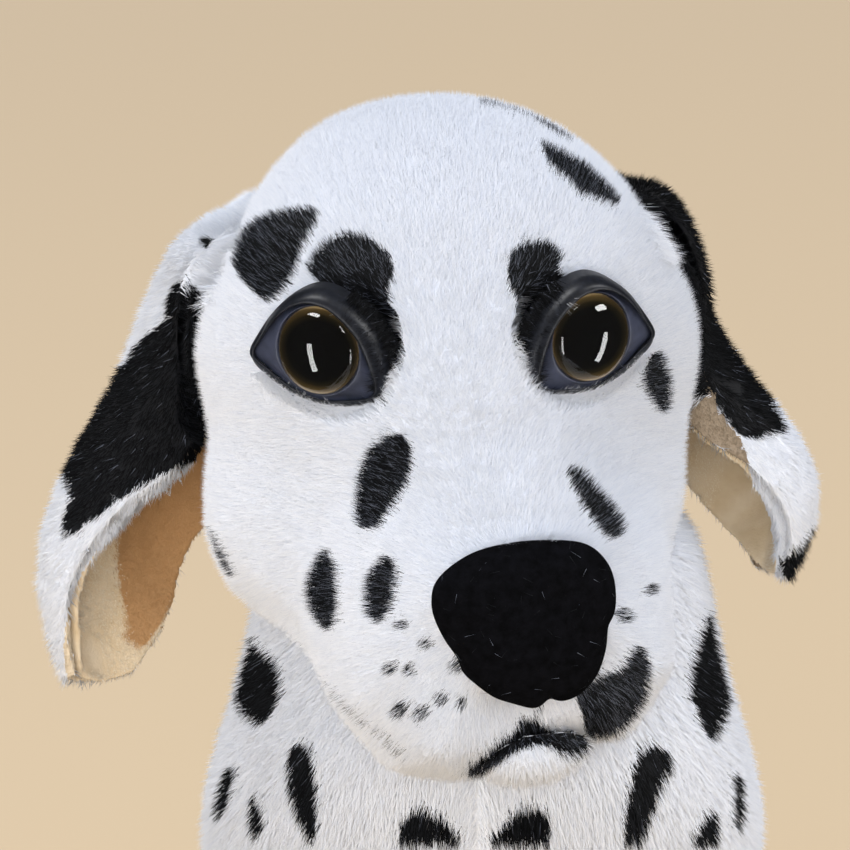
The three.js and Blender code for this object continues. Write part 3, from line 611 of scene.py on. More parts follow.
def on_scattered(points, spots):
    black = np.zeros(len(points), bool)
    for centre, normal, axis, half_long, half_wide, wave in spots:
        away = points - centre
        near = np.linalg.norm(away, axis=1) < half_long * 1.3
        along = away[near] @ axis / half_long
        across = away[near] @ np.cross(normal, axis) / half_wide
        round_it = np.arctan2(across, along)
        edge = 1 + 0.1 * np.sin(2 * round_it + wave) + 0.07 * np.sin(3 * round_it - wave)
        black[near] |= np.hypot(along, across) < edge
    return black


def coat_of(node, points, normals, spots, rng, blur=0.0):
    """True for each point of the coat that is black."""
    black = on_scattered(points, spots)
    pixels = in_photo(points) + rng.normal(0, 1, (len(points), 2)) * blur
    share = EAR_FACING_SHARE if node.startswith("ear") else PHOTO_FACING_SHARE
    shown = seen_in_photo(points, normals, share=share)
    drawn = np.zeros(len(points), bool)
    for outline in SPOTS_OF.get(node, {}).values():
        drawn |= within(pixels, rounded(outline))
    if node in ("head", "chin"):
        chance = rng.random(len(points))
        for across, down, radius in HEAD_FRECKLES:
            away = np.hypot(pixels[:, 0] - across, pixels[:, 1] - down)
            drawn |= (away < radius) & (chance < 0.8)
        for line in LIP_LINES:
            drawn |= near_line(pixels, line, 3.5) & (chance < 0.28)
    hidden = ~seen_in_photo(points, normals, share=HIDDEN_FACING_SHARE)
    return np.where(shown, drawn, black & hidden)


# Pile: each fibre is a thin three-sided needle, rooted in the skin and combed one way
FIBRES_IN_A_PIECE = 62000
# How far a fibre is shaded as the skin below it is: scattered light makes real pile look even
PILE_SOFTNESS = 0.7


def roots_on(mesh, per_area, rng):
    """Random roots on the faces, so many to the area of each: places, normals and faces."""
    mesh.calc_loop_triangles()
    triangles = numbers(mesh.loop_triangles, "vertices", 3, np.int32)
    faces = numbers(mesh.loop_triangles, "polygon_index", 1, np.int32)[:, 0]
    places = numbers(mesh.vertices, "co", 3)
    normals = numbers(mesh.vertices, "normal", 3)
    a, b, c = (places[triangles[:, k]] for k in range(3))
    areas = np.linalg.norm(np.cross(b - a, c - a), axis=1) / 2
    counts = rng.poisson(areas * per_area[faces])
    pick = np.repeat(np.arange(len(triangles)), counts)
    u, v = rng.random(len(pick)), rng.random(len(pick))
    over = u + v > 1
    u[over], v[over] = 1 - u[over], 1 - v[over]
    weights = np.stack([1 - u - v, u, v], axis=1)
    roots = np.einsum("ik,ikj->ij", weights, places[triangles[pick]])
    ups = np.einsum("ik,ikj->ij", weights, normals[triangles[pick]])
    return roots, ups / np.linalg.norm(ups, axis=1, keepdims=True)


def needles(name, roots, tips, ups, half_widths, tints, piles):
    """One mesh of needles: no modifier or operator makes hair that the part's file can hold."""
    count = len(roots)
    way = tips - roots
    way /= np.linalg.norm(way, axis=1, keepdims=True)
    helper = np.where(np.abs(way[:, 2:3]) < 0.9, [[0.0, 0.0, 1.0]], [[1.0, 0.0, 0.0]])
    side = np.cross(way, helper)
    side /= np.linalg.norm(side, axis=1, keepdims=True)
    other = np.cross(way, side)
    corners = np.empty((count, 4, 3))
    normals = np.empty((count, 4, 3))
    for k in range(3):
        turn = 2 * math.pi * k / 3
        around = side * math.cos(turn) + other * math.sin(turn)
        corners[:, k] = roots + around * half_widths[:, None]
        normals[:, k] = ups * PILE_SOFTNESS + around * (1 - PILE_SOFTNESS)
    corners[:, 3] = tips
    normals[:, 3] = ups
    faces = np.array([[0, 1, 3], [1, 2, 3], [2, 0, 3]])[None] + 4 * np.arange(count)[:, None, None]
    mesh = bpy.data.meshes.new(name)
    mesh.vertices.add(4 * count)
    mesh.vertices.foreach_set("co", corners.ravel())
    mesh.loops.add(9 * count)
    mesh.loops.foreach_set("vertex_index", faces.ravel().astype(np.int32))
    mesh.polygons.add(3 * count)
    mesh.polygons.foreach_set("loop_start", np.arange(0, 9 * count, 3, dtype=np.int32))
    mesh.polygons.foreach_set("material_index", np.repeat(tints, 3).astype(np.int32))
    mesh.update(calc_edges=True)
    smooth_faces(mesh)
    mesh.normals_split_custom_set_from_vertices(unit(normals.reshape(-1, 3)))
    return link(name, mesh, *piles)


def unit(vectors):
    return vectors / np.maximum(np.linalg.norm(vectors, axis=1, keepdims=True), 1e-9)


def grow_pile(node, name, roots, ups, comb, style, spots, piles, rng):
    """Pile over the roots, in pieces small enough to keep whole."""
    count = len(roots)
    flat = comb - ups * np.einsum("ij,ij->i", comb, ups)[:, None]
    way = unit(ups * style["stand"] + unit(flat) * style["lean"] + rng.normal(0, style["stray"], (count, 3)))
    long = style["length"] * (1 + rng.uniform(-0.3, 0.2, count))
    tips = roots + way * long[:, None]
    tint = rng.choice(3, count, p=style["tint_shares"])
    if spots == "black":
        tint = 3 + rng.choice(3, count, p=style["black_shares"])
    elif spots == "velour":
        # Painted shade: darker tan fibres where the fold shades the lining
        fold_shade = within(in_photo(roots) + rng.normal(0, 3.5, (count, 2)), FOLD_SHADE)
        tint = np.where(fold_shade, rng.choice([3, 4], count), tint)
    elif spots is not None:
        black = coat_of(node, roots * 0.35 + tips * 0.65, ups, spots, rng, blur=0.8)
        tint = np.where(black, 3 + rng.choice(3, count, p=style["black_shares"]), tint)
    half_widths = style["half_width"] * rng.uniform(0.8, 1.2, count)
    order = rng.permutation(count)
    pieces = max(1, math.ceil(count / FIBRES_IN_A_PIECE))
    for k, part in enumerate(np.array_split(order, pieces)):
        label = f"{name}_{k + 1}" if pieces > 1 else name
        piece = needles(label, roots[part], tips[part], ups[part], half_widths[part], tint[part], piles)
        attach(piece, BODY_OF[node])


# How the pile of each stuffed form lies: directions to comb it, by place
def middle(node):
    low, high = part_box(node)
    return np.array((low + high) / 2)


def from_point(point):
    return lambda places: unit(places - point)


def along(direction):
    return lambda places: np.tile(np.array(direction, float), (len(places), 1))


def parted_at_seam(places):
    """Down the body, and away from the seam in the middle of the chest."""
    aside = places[:, 0] / MM - CHEST_SEAM_ASIDE
    parted = np.sign(aside) * np.exp(-np.abs(aside) / 3) * 0.9
    return unit(np.stack([parted, np.zeros(len(places)), np.full(len(places), -1.0)], axis=1))


CHEST_SEAM_ASIDE = -1.7
NOSE_MIDDLE = middle("nose")
LONG_PILE = {"length": 4.6 * MM, "half_width": 0.145 * MM, "stand": 0.75, "lean": 0.8, "stray": 0.2}
FACE_PILE = {"length": 3.1 * MM, "half_width": 0.085 * MM, "stand": 0.9, "lean": 0.5, "stray": 0.2}
EAR_PILE = {"length": 2.9 * MM, "half_width": 0.11 * MM, "stand": 0.75, "lean": 0.7, "stray": 0.22}
NAP = {"length": 0.8 * MM, "half_width": 0.1 * MM, "stand": 0.9, "lean": 0.5, "stray": 0.25}
FRINGE = {"length": 3.6 * MM, "half_width": 0.09 * MM, "stand": 0.8, "lean": 0.5, "stray": 0.25}
SEAM = {"length": 6.0 * MM, "half_width": 0.1 * MM, "stand": 0.35, "lean": 1.0, "stray": 0.2}
LIPS = {"length": 3.2 * MM, "half_width": 0.09 * MM, "stand": 0.5, "lean": 0.9, "stray": 0.25}
# The third black share is the grey fibre painted as a highlight, standing in for glints; the face has more of it
for style in (LONG_PILE, FACE_PILE, EAR_PILE, NAP, FRINGE, SEAM, LIPS):
    style["tint_shares"] = [0.4, 0.35, 0.25]
    style["black_shares"] = [0.62, 0.365, 0.015]
FACE_PILE["black_shares"] = [0.5, 0.35, 0.15]
SEAM["black_shares"] = [0.62, 0.38, 0]
LINT = {"length": 2.2 * MM, "half_width": 0.05 * MM, "stand": 0.1, "lean": 1.0, "stray": 0.2,
        "tint_shares": [1, 0, 0], "black_shares": [0, 0.75, 0.25]}

STUFFED = {
    "head": {"comb": from_point(NOSE_MIDDLE), "voxel": 1.6, "inset": 1.8, "near": 9.0, "far": 2.2,
             "filled_by": ["nose"]},
    "chin": {"comb": from_point(NOSE_MIDDLE), "voxel": 0.9, "inset": 1.0, "near": 7.0, "far": 4.0,
             "smoothing": 3},
    "torso": {"comb": parted_at_seam, "voxel": 3.0, "inset": 2.4, "near": 4.2, "far": 1.0},
    "tail": {"comb": along((0, 1, 0)), "voxel": 1.6, "inset": 2.2, "near": 1.6, "far": 1.6},
}
for _side in SIDES:
    STUFFED[f"thigh_{_side}"] = {"comb": along((0, 0.35, -1)), "voxel": 2.2, "inset": 2.4, "near": 1.1, "far": 1.1}
    STUFFED[f"front_leg_{_side}"] = {"comb": along((0, 0, -1)), "voxel": 2.2, "inset": 2.4, "near": 1.1, "far": 1.1}
    STUFFED[f"hind_paw_{_side}"] = {"comb": along((0, -1, -0.2)), "voxel": 1.6, "inset": 2.0, "near": 1.6, "far": 1.6}
    STUFFED[f"front_paw_{_side}"] = {"comb": along((0, -1, -0.3)), "voxel": 1.6, "inset": 2.0, "near": 1.6, "far": 1.6}

for _form in STUFFED.values():
    _form.setdefault("smoothing", 6)
    _form.setdefault("filled_by", ())

# Fuller places, modelled by moving the skin: centre, reach and move, in millimetres
FULLER = {
    "head": [((-34, -95, 335), 24, (-1.5, 0, 1.2)), ((47, -101, 267), 22, (2.0, 0, 0)),
             ((0, -162, 214), 15, (0, -2.0, -1.5))],
    "ear_right": [((-92, -85, 208), 24, (-2.5, 0, -3.0)), ((-70, -80, 232), 16, (0, 4.0, 0)),
                  ((-64, -66, 228), 22, (-6.5, 0, 1.0)), ((-58, -88, 320), 18, (0.5, 0, -4.0)),
                  ((-80, -84, 298), 22, (-4.8, 0, 1.0))],
    "ear_left": [((74, -86, 236), 22, (-4.0, 0, -4.5)), ((50, -63, 238), 26, (9.0, 0, 0)), ((49, -60, 254), 18, (4.5, 0, 0)),
                 ((64, -92, 276), 28, (-4.0, 0, -1.0)), ((36, -90, 324), 20, (1.0, 0, 6.0))],
}


def swell(skin, node):
    places = numbers(skin.data.vertices, "co", 3)
    for centre, reach, move in FULLER.get(node, []):
        away = np.linalg.norm(places - np.array(centre) * MM, axis=1) / (reach * MM)
        places += np.array(move) * MM * np.exp(-2 * away**2)[:, None]
    skin.data.vertices.foreach_set("co", places.ravel())
    skin.data.update()


BACKING = knitted_backing()
PER_MM2 = 1 / (MM * MM)
# Faces nearer than this to another form grow no pile
CREVICE = 0.8 * MM


def dress_stuffed(node, index):
    """Skin, coat colours and pile of one stuffed form."""
    form = STUFFED[node]
    rng = np.random.default_rng(100 + index)
    voxel, inset = form["voxel"] * MM, form["inset"] * MM
    skin = skin_over(node, f"skin_{node}", voxel, inset, form["smoothing"], BACKING, form["filled_by"])
    swell(skin, node)
    mesh = skin.data
    own = BVHTree.FromPolygons([v.co for v in mesh.vertices], [list(p.vertices) for p in mesh.polygons])
    ignored = [node, *form["filled_by"]]
    opened = open_faces(mesh, solids_tree(ignored), own, 150 * MM, CREVICE)
    centres, normals = numbers(mesh.polygons, "center", 3), numbers(mesh.polygons, "normal", 3)
    if node == "head":
        nose = rounded(NOSE_OUTLINE)
        opened &= ~within(in_photo(centres), nose.mean(0) + (nose - nose.mean(0)) * UNDER_NOSE_SHARE)
    spots = scattered_spots(node, centres[opened], normals[opened], form["comb"](centres[opened]), 34 * MM, rng)
    near = seen_in_photo(centres, normals, margin=20, share=rng.uniform(-0.45, -0.1, len(centres)))
    per_area = np.where(near, form["near"], form["far"]) * opened * PER_MM2
    roots, ups = roots_on(mesh, per_area, rng)
    style = FACE_PILE if node in ("head", "chin") else LONG_PILE
    grow_pile(node, f"pile_{node}", roots, ups, form["comb"](roots), style, spots, COAT_PILES, rng)
    coat = mesh.attributes.new("coat", "FLOAT", "POINT")
    places, ups = numbers(mesh.vertices, "co", 3), numbers(mesh.vertices, "normal", 3)
    coat.data.foreach_set("value", coat_of(node, places, ups, spots, rng).astype(float))


for _index, _node in enumerate(STUFFED):
    dress_stuffed(_node, _index)


def traced_roots(skins, line, count, spread, rng):
    """Roots where an open line of the photograph's pixels falls on the skins: places and normals."""
    corners, faces = [], []
    for name in skins:
        mesh = bpy.data.objects[name].data
        faces += [[len(corners) + i for i in p.vertices] for p in mesh.polygons]
        corners += [v.co.copy() for v in mesh.vertices]
    tree = BVHTree.FromPolygons(corners, faces)
    roots, ups = [], []
    line = np.array(line, float)
    for _ in range(count):
        spot = rng.uniform(0, len(line) - 1)
        k = int(spot)
        pixel = line[k] + (line[k + 1] - line[k]) * (spot - k) + rng.normal(0, spread, 2)
        ray = (from_photo(pixel, EYES_MIDDLE, look) - eye_point).normalized()
        place, normal = tree.ray_cast(eye_point, ray)[:2]
        if place is not None:
            roots.append(place)
            ups.append(normal)
    return np.array(roots).reshape(-1, 3), np.array(ups).reshape(-1, 3)


def lip_pile():
    """Dark pile along the mouth line."""
    rng = np.random.default_rng(400)
    roots, ups = traced_roots(["skin_head", "skin_chin"], MOUTH_LINE, MOUTH_FIBRES, MOUTH_SPREAD, rng)
    comb = np.stack([np.where(in_photo(roots)[:, 0] < MOUTH_TOP, -0.7, 0.5), np.full(len(roots), -0.3),
                     np.full(len(roots), -0.8)], axis=1)
    grow_pile("head", "pile_lips", roots, ups, comb, LIPS, "black", COAT_PILES, rng)


MOUTH_LINE = [(470, 768), (489, 752), (511, 737), (528, 728), (546, 733), (563, 744), (584, 747), (606, 746)]
MOUTH_TOP = 530
MOUTH_FIBRES = 2300
MOUTH_SPREAD = 3.8
lip_pile()


# Ears
def lit_from_camera(roots, ups):
    """Normals turned part of the way to the camera, as pile that stands out of a fold catches the light."""
    return unit(ups + unit(np.array(eye_point) - roots) * 1.2)


def dress_ear(side, index):
    rng = np.random.default_rng(200 + index)
    outer, lining = f"ear_{side}_outer", f"ear_{side}_lining"
    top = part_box(outer)[1]
    root = np.array(((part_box(outer)[0].x + top.x) / 2, (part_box(outer)[0].y + top.y) / 2, top.z))
    root[0] = np.array(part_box(outer)[0 if SIDES[side] > 0 else 1])[0]
    skin = skin_over(outer, f"skin_{outer}", 1.1 * MM, 1.0 * MM, 5, BACKING)
    swell(skin, f"ear_{side}")
    mesh = skin.data
    own = BVHTree.FromPolygons([v.co for v in mesh.vertices], [list(p.vertices) for p in mesh.polygons])
    opened = open_faces(mesh, solids_tree([outer]), own, 150 * MM, 1.0 * MM)
    centres, normals = numbers(mesh.polygons, "center", 3), numbers(mesh.polygons, "normal", 3)
    comb = from_point(root)
    spots = scattered_spots(outer, centres[opened], normals[opened], comb(centres[opened]), 30 * MM, rng)
    roots, ups = roots_on(mesh, 4.5 * opened * PER_MM2, rng)
    lined = lined_with_velour(side, roots, ups)
    grow_pile(outer, f"pile_{outer}", roots[~lined], ups[~lined], comb(roots[~lined]), EAR_PILE, spots, COAT_PILES,
              rng)
    hem_roots, hem_ups = roots[lined], lit_from_camera(roots, ups)[lined]
    grow_pile(lining, f"nap_hem_{side}", hem_roots, hem_ups, comb(hem_roots), NAP, None, HEM_PILES[side], rng)
    mesh.materials.append(velour_backing(f"velour_hem_{side}", *HEM_COLOURS[side]))
    mesh.polygons.foreach_set("material_index", lined_with_velour(side, centres, normals).astype(np.int32))
    places, ups = numbers(mesh.vertices, "co", 3), numbers(mesh.vertices, "normal", 3)
    # Painted shade: marks where the fold shades the lining, for the darker tan
    fold_shade = within(in_photo(places), FOLD_SHADE)
    for name, dark in (("coat", coat_of(outer, places, ups, spots, rng)), ("fold_shade", fold_shade)):
        mesh.attributes.new(name, "FLOAT", "POINT").data.foreach_set("value", dark.astype(float))

    cloth = skin_over(lining, f"cloth_{lining}", 0.9 * MM, 0.1 * MM, 4, VELOUR)
    swell(cloth, f"ear_{side}")
    mesh = cloth.data
    own = BVHTree.FromPolygons([v.co for v in mesh.vertices], [list(p.vertices) for p in mesh.polygons])
    opened = open_faces(mesh, solids_tree([lining]), own, 150 * MM, 0.8 * MM)
    area = numbers(mesh.polygons, "area", 1)[:, 0].sum() / 2
    mesh.materials.append(BACKING)

    def by_fold(points, normals):
        turned = seen_in_photo(points, normals, share=HIDDEN_FACING_SHARE)
        turned |= within(in_photo(points), rounded(EAR_FOLDS[side]))
        return turned & ~lined_with_velour(side, points, normals)

    wrapped = by_fold(numbers(mesh.polygons, "center", 3), numbers(mesh.polygons, "normal", 3))
    mesh.polygons.foreach_set("material_index", wrapped.astype(np.int32))
    places, ups = numbers(mesh.vertices, "co", 3), numbers(mesh.vertices, "normal", 3)
    # The same painted shade on the lining cloth
    for name, dark in (("coat", coat_of(outer, places, ups, [], rng)), ("fold_shade", within(in_photo(places), FOLD_SHADE))):
        mesh.attributes.new(name, "FLOAT", "POINT").data.foreach_set("value", dark.astype(float))
    per_area = np.where(wrapped, 14.0, 5.0)
    roots, ups = roots_on(mesh, per_area * opened * PER_MM2, rng)
    folded = by_fold(roots, ups)
    grow_pile(outer, f"pile_fold_{side}", roots[folded], lit_from_camera(roots, ups)[folded],
              comb(roots[folded]), EAR_PILE, [], COAT_PILES, rng)
    roots, ups = roots[~folded], ups[~folded]
    grow_pile(lining, f"nap_{lining}", roots, ups, comb(roots), NAP, "velour", TAN_PILES, rng)
    roots, ups = traced_roots([f"skin_{outer}"], EAR_SEAMS[side], SEAM_FIBRES, SEAM_SPREAD, rng)
    toward = np.tile([-SIDES[side], -0.25, -0.35], (len(roots), 1))
    grow_pile(outer, f"pile_seam_{side}", roots, lit_from_camera(roots, ups), toward, SEAM, [], COAT_PILES, rng)
    if side in EAR_ROOTS:
        roots, ups = traced_roots([f"skin_{outer}"], EAR_ROOTS[side], ROOT_FIBRES, ROOT_SPREAD, rng)
        ups = lit_from_camera(roots, ups)
        grow_pile(outer, f"pile_root_{side}", roots, ups, comb(roots), EAR_PILE, [], COAT_PILES, rng)
    roots, ups = traced_roots(["skin_head"], HEAD_SEAMS[side], HEAD_SEAM_FIBRES, SEAM_SPREAD, rng)
    away = np.tile([SIDES[side], -0.25, -0.35], (len(roots), 1))
    grow_pile("head", f"pile_by_ear_{side}", roots, lit_from_camera(roots, ups), away, SEAM, [], COAT_PILES, rng)


VELOUR = velour_backing("velour_backing", "#DCC49E", "#E9D5B5")
for _index, _side in enumerate(SIDES):
    dress_ear(_side, _index)


# Shapes lofted ring by ring
def loft(name, rings, material, start_cap=True, end_cap=True, subdivide=1):
    """A surface through rings of points, all with the same count, extruded one from the last."""
    shape = bmesh.new()
    made = bmesh.ops.create_circle(shape, segments=len(rings[0]), radius=1)["verts"]
    current = sorted(made, key=lambda v: math.atan2(v.co.y, v.co.x) % (2 * math.pi))
    for vertex, place in zip(current, rings[0]):
        vertex.co = place
    if start_cap:
        shape.faces.new(current)
    for ring in rings[1:]:
        edges = [shape.edges.get((a, b)) for a, b in zip(current, current[1:] + current[:1])]
        made = bmesh.ops.extrude_edge_only(shape, edges=edges)["geom"]
        fresh = {item for item in made if isinstance(item, bmesh.types.BMVert)}
        current = [next(e.other_vert(v) for e in v.link_edges if e.other_vert(v) in fresh) for v in current]
        for vertex, place in zip(current, ring):
            vertex.co = place
    if end_cap:
        shape.faces.new(current)
    bmesh.ops.recalc_face_normals(shape, faces=shape.faces)
    mesh = bpy.data.meshes.new(name)
    shape.to_mesh(mesh)
    shape.free()
    piece = link(name, mesh, material)
    if subdivide:
        soft = piece.modifiers.new("soft", "SUBSURF")
        soft.levels = soft.render_levels = subdivide
        finished(piece)
    smooth_faces(piece.data)
    return piece


# Eyes. Places on an eye are [outward, up] in millimetres from its middle, heights along its axis
LID_OUTLINE = [(15.2, -3.4), (13.2, 1.4), (10.0, 7.4), (5.1, 12.0), (0.0, 14.4), (-4.8, 13.6), (-9.6, 10.6),
               (-13.4, 6.4), (-15.4, 2.4), (-16.2, -1.6), (-15.2, -7.0), (-12.0, -10.4), (-6.1, -11.9),
               (0.0, -12.2), (7.0, -10.2), (11.8, -7.0)]
LID_OPENING = [(14.4, -2.7), (12.3, 1.5), (8.2, 7.0), (3.3, 9.8), (-1.6, 9.3), (-5.2, 6.8), (-8.2, 3.5),
               (-10.2, -0.6), (-11.5, -4.4), (-12.2, -7.8), (-10.6, -9.3), (-6.6, -10.2), (-0.8, -10.9),
               (3.8, -9.9), (7.8, -7.8), (11.4, -5.1)]
IRIS_RADIUS = 8.2 * MM
LENS_RADIUS = 8.6
LENS_TALL_SHARE = 1.1
LENS_CROWN = 4.6
IRIS_TOP = 0.4
LENS_BASE, LENS_RIM = 0.38, 1.55
LENS_WIDEST = 1.5
# The dome's middle in the photograph's pixels
EYE_PIXELS = {"right": (318.3, 350.6), "left": (590.9, 337.5)}
EYE_SEGMENTS = 48
# Pile that lies over the lid's edge: how many fibres, and how far out and in of the edge they root
FRINGE_FIBRES = 4200
FRINGE_OUT, FRINGE_IN = 2.8, 2.6
# Heights of the lid: its edge in the pile, its brim at the low side and at the hooded side
LID_ROOT, LID_LOW, LID_HOOD = -1.3, 0.9, 3.2


def even_ring(points, count):
    """So many points evenly spaced on the smooth closed curve through the given ones."""
    curve = rounded(points, steps=12)
    closed = np.vstack([curve, curve[:1]])
    lengths = np.r_[0, np.cumsum(np.linalg.norm(np.diff(closed, axis=0), axis=1))]
    marks = np.linspace(0, lengths[-1], count, endpoint=False)
    return np.stack([np.interp(marks, lengths, closed[:, k]) for k in range(2)], axis=1)


def grown_ring(ring, by):
    """The ring moved out from its own middle by so much, and in by a negative amount."""
    out = ring - ring.mean(0)
    return ring + out / np.linalg.norm(out, axis=1, keepdims=True) * by


def ellipse(radius, count, tall=LENS_TALL_SHARE):
    turns = np.linspace(0, 2 * math.pi, count, endpoint=False)
    return np.stack([np.cos(turns) * radius, np.sin(turns) * radius * tall], axis=1)


def eye_frame(side):
    """The middle of an eye's iris and its axes: outward along the face, up, and out of the head."""
    mesh = NODES[f"eye_{side}_iris"].data
    places = numbers(mesh.vertices, "co", 3)
    centre = (places.min(0) + places.max(0)) / 2
    _, _, axes = np.linalg.svd(np.unique(np.round(places, 7), axis=0) - centre, full_matrices=False)
    out = Vector(axes[2])
    out *= -1 if out.y > 0 else 1
    up = Vector(axes[0])
    up *= -1 if up.z < 0 else 1
    across = up.cross(out) * SIDES[side]
    widest = out * LENS_WIDEST * MM
    return from_photo(EYE_PIXELS[side], Vector(centre) + widest, out) - widest, across, up, out


def in_eye(eye, ring, heights):
    """Ring and heights in millimetres, placed on the eye."""
    centre, across, up, out = eye
    heights = np.broadcast_to(heights, len(ring))
    return [centre + (across * x + up * y + out * z) * MM for (x, y), z in zip(ring, heights)]


def in_sight(eye, ring, heights):
    """Places on the eye that the camera sees at the ring's places, whatever their heights."""
    centre, across, up, out = eye
    toward = (eye_point - centre).normalized()
    slide = toward / toward.dot(out)
    heights = np.broadcast_to(heights, len(ring))
    placed = []
    for (x, y), height in zip(ring, heights):
        seen = max(height, LID_ROOT)
        place = across * x + up * y + out * (LENS_WIDEST + height - seen) + slide * (seen - LENS_WIDEST)
        placed.append(centre + place * MM)
    return placed


def make_lid(side, eye):
    """The hooded vinyl lid: high over the inner top of the eye and thin at the outer corner."""
    outline, opening = even_ring(LID_OUTLINE, EYE_SEGMENTS), even_ring(LID_OPENING, EYE_SEGMENTS)
    slope = (outline[:, 1] * 0.9 - outline[:, 0] * 0.45) / 13
    share = np.clip((slope + 0.8) / 1.8, 0, 1)
    brim = LID_LOW + (LID_HOOD - LID_LOW) * share**2 * (3 - 2 * share)
    rings = [(outline, -4.0), (outline, LID_ROOT)]
    edge = grown_ring(opening, 0.4)
    for t in (0.08, 0.22, 0.42, 0.64, 0.84, 1.0):
        rise = math.sin(t * math.pi / 2) ** 0.8
        rings.append((outline * (1 - t) + edge * t, LID_ROOT + (brim - LID_ROOT) * rise))
    rings += [
        (grown_ring(opening, 0.1), brim - 0.15),
        (opening, brim - 0.6),
        (grown_ring(opening, 0.3), brim - 1.1),
        (grown_ring(opening, 1.6), -0.4),
        (grown_ring(opening, 1.6), -4.0),
    ]
    placed = [in_sight(eye, ring, heights) for ring, heights in rings]
    placed.append(placed[0])
    piece = loft(f"lid_{side}", placed, VINYL, False, False, subdivide=1)
    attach(piece, "head")
    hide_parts(f"eye_{side}_lid")


def make_fringe(side, eye):
    """Pile that lies over the lid's edge at its inner and lower sides."""
    rng = np.random.default_rng(300 + SIDES[side])
    outline = even_ring(LID_OUTLINE, 400)
    covered = ((outline[:, 0] < 0) & (outline[:, 1] < 12.5)) | (outline[:, 1] < -6)
    start = outline[rng.choice(np.flatnonzero(covered), FRINGE_FIBRES)]
    inward = -start / np.linalg.norm(start, axis=1, keepdims=True)
    inner = (start[:, 0] < -2) & (start[:, 1] > -8)
    deep = rng.uniform(-FRINGE_OUT, np.where(inner, FRINGE_IN, 0.3))
    start = start + inward * deep[:, None]
    roots = np.array(in_sight(eye, start, LID_ROOT + np.clip(deep, 0, None)))
    _, across, up, out = (np.array(part) for part in eye)
    comb = inward[:, :1] * across + inward[:, 1:] * up
    ups = np.tile(out, (len(roots), 1))
    grow_pile("head", f"fringe_{side}", roots, ups, comb, FRINGE, [], COAT_PILES, rng)


def make_eye_white(side, eye):
    """The slate disc with the dome's seat in its face and the shank on its back."""
    opening = even_ring(LID_OPENING, EYE_SEGMENTS)
    edge = grown_ring(opening, 1.5)
    start = int(np.argmin(np.abs(np.arctan2(edge[:, 1], edge[:, 0]))))
    seat = np.roll(ellipse(LENS_RADIUS + 0.3, EYE_SEGMENTS), start, axis=0)
    if not clockwise(edge) == clockwise(seat):
        seat = np.roll(seat[::-1], 2 * start + 1, axis=0)
    shank = seat / np.linalg.norm(seat, axis=1, keepdims=True) * 2.6
    rings = [
        (shank, -23.0),
        (shank, -6.8),
        (edge, -6.6),
        (edge, -0.9),
        (edge, -0.4),
        (opening * 0.97, 0.2),
        (opening * 0.5 + seat * 0.5, 1.1),
        (seat * 1.03, 1.7),
        (seat, 1.6),
        (seat, -0.5),
        (seat * 0.95, -0.6),
        (seat * 0.5, -0.6),
    ]
    piece = loft(f"eye_white_{side}", [in_eye(eye, r, h) for r, h in rings], SLATE, subdivide=1)
    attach(piece, "head")
    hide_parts(f"eye_{side}_ball")


def clockwise(ring):
    after = np.roll(ring, -1, axis=0)
    return float(np.sum(ring[:, 0] * after[:, 1] - after[:, 0] * ring[:, 1])) < 0


def make_iris(side, eye):
    full = ellipse(IRIS_RADIUS / MM, EYE_SEGMENTS)
    rings = [(full * 0.5, -IRIS_TOP), (full * 0.98, -IRIS_TOP), (full, -IRIS_TOP + 0.05)]
    rings += [(full, IRIS_TOP - 0.05), (full * 0.99, IRIS_TOP), (full * 0.5, IRIS_TOP)]
    paint = iris_paint(f"iris_lacquer_{side}", eye[0] + eye[3] * IRIS_TOP * MM)
    piece = loft(f"iris_{side}", [in_eye(eye, r, h) for r, h in rings], paint, subdivide=0)
    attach(piece, "head")
    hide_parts(f"eye_{side}_iris")


def make_dome(side, eye):
    full = ellipse(LENS_RADIUS, EYE_SEGMENTS)
    rings = [(full * 0.5, LENS_BASE), (full * 0.97, LENS_BASE), (full * 0.99, LENS_BASE + 0.02)]
    rings += [(full, LENS_BASE + 0.2), (full, LENS_RIM)]
    for rise in range(8, 90, 8):
        turn = math.radians(rise)
        rings.append(
            (ellipse(LENS_RADIUS * math.cos(turn), EYE_SEGMENTS), LENS_RIM + LENS_CROWN * math.sin(turn))
        )
    piece = loft(f"dome_{side}", [in_eye(eye, r, h) for r, h in rings], CLEAR, subdivide=0)
    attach(piece, "head")
    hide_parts(f"eye_{side}_lens")


VINYL, SLATE, CLEAR, NYLON = moulded_vinyl(), slate_plastic(), clear_acrylic(), natural_nylon()
EYES = {side: eye_frame(side) for side in SIDES}
for _side, _eye in EYES.items():
    make_lid(_side, _eye)
    make_fringe(_side, _eye)
    make_eye_white(_side, _eye)
    make_iris(_side, _eye)
    make_dome(_side, _eye)
    NODES[f"eye_{_side}_washer"].data.materials.clear()
    NODES[f"eye_{_side}_washer"].data.materials.append(NYLON)
NODES["nose_washer"].data.materials.clear()
NODES["nose_washer"].data.materials.append(NYLON)

# Nose
NOSE_FACING = Vector((0.2, -0.98, 0.02)).normalized()
NOSE_SEGMENTS = 90
NOSE_CROWN = 8.0 * MM
NOSE_ROUND = 2.6
# Nostril creases: pixel, radius in millimetres, depth in millimetres
NOSTRILS = [((550, 594), 3.2, 1.2), ((469, 622), 3.2, 1.2)]

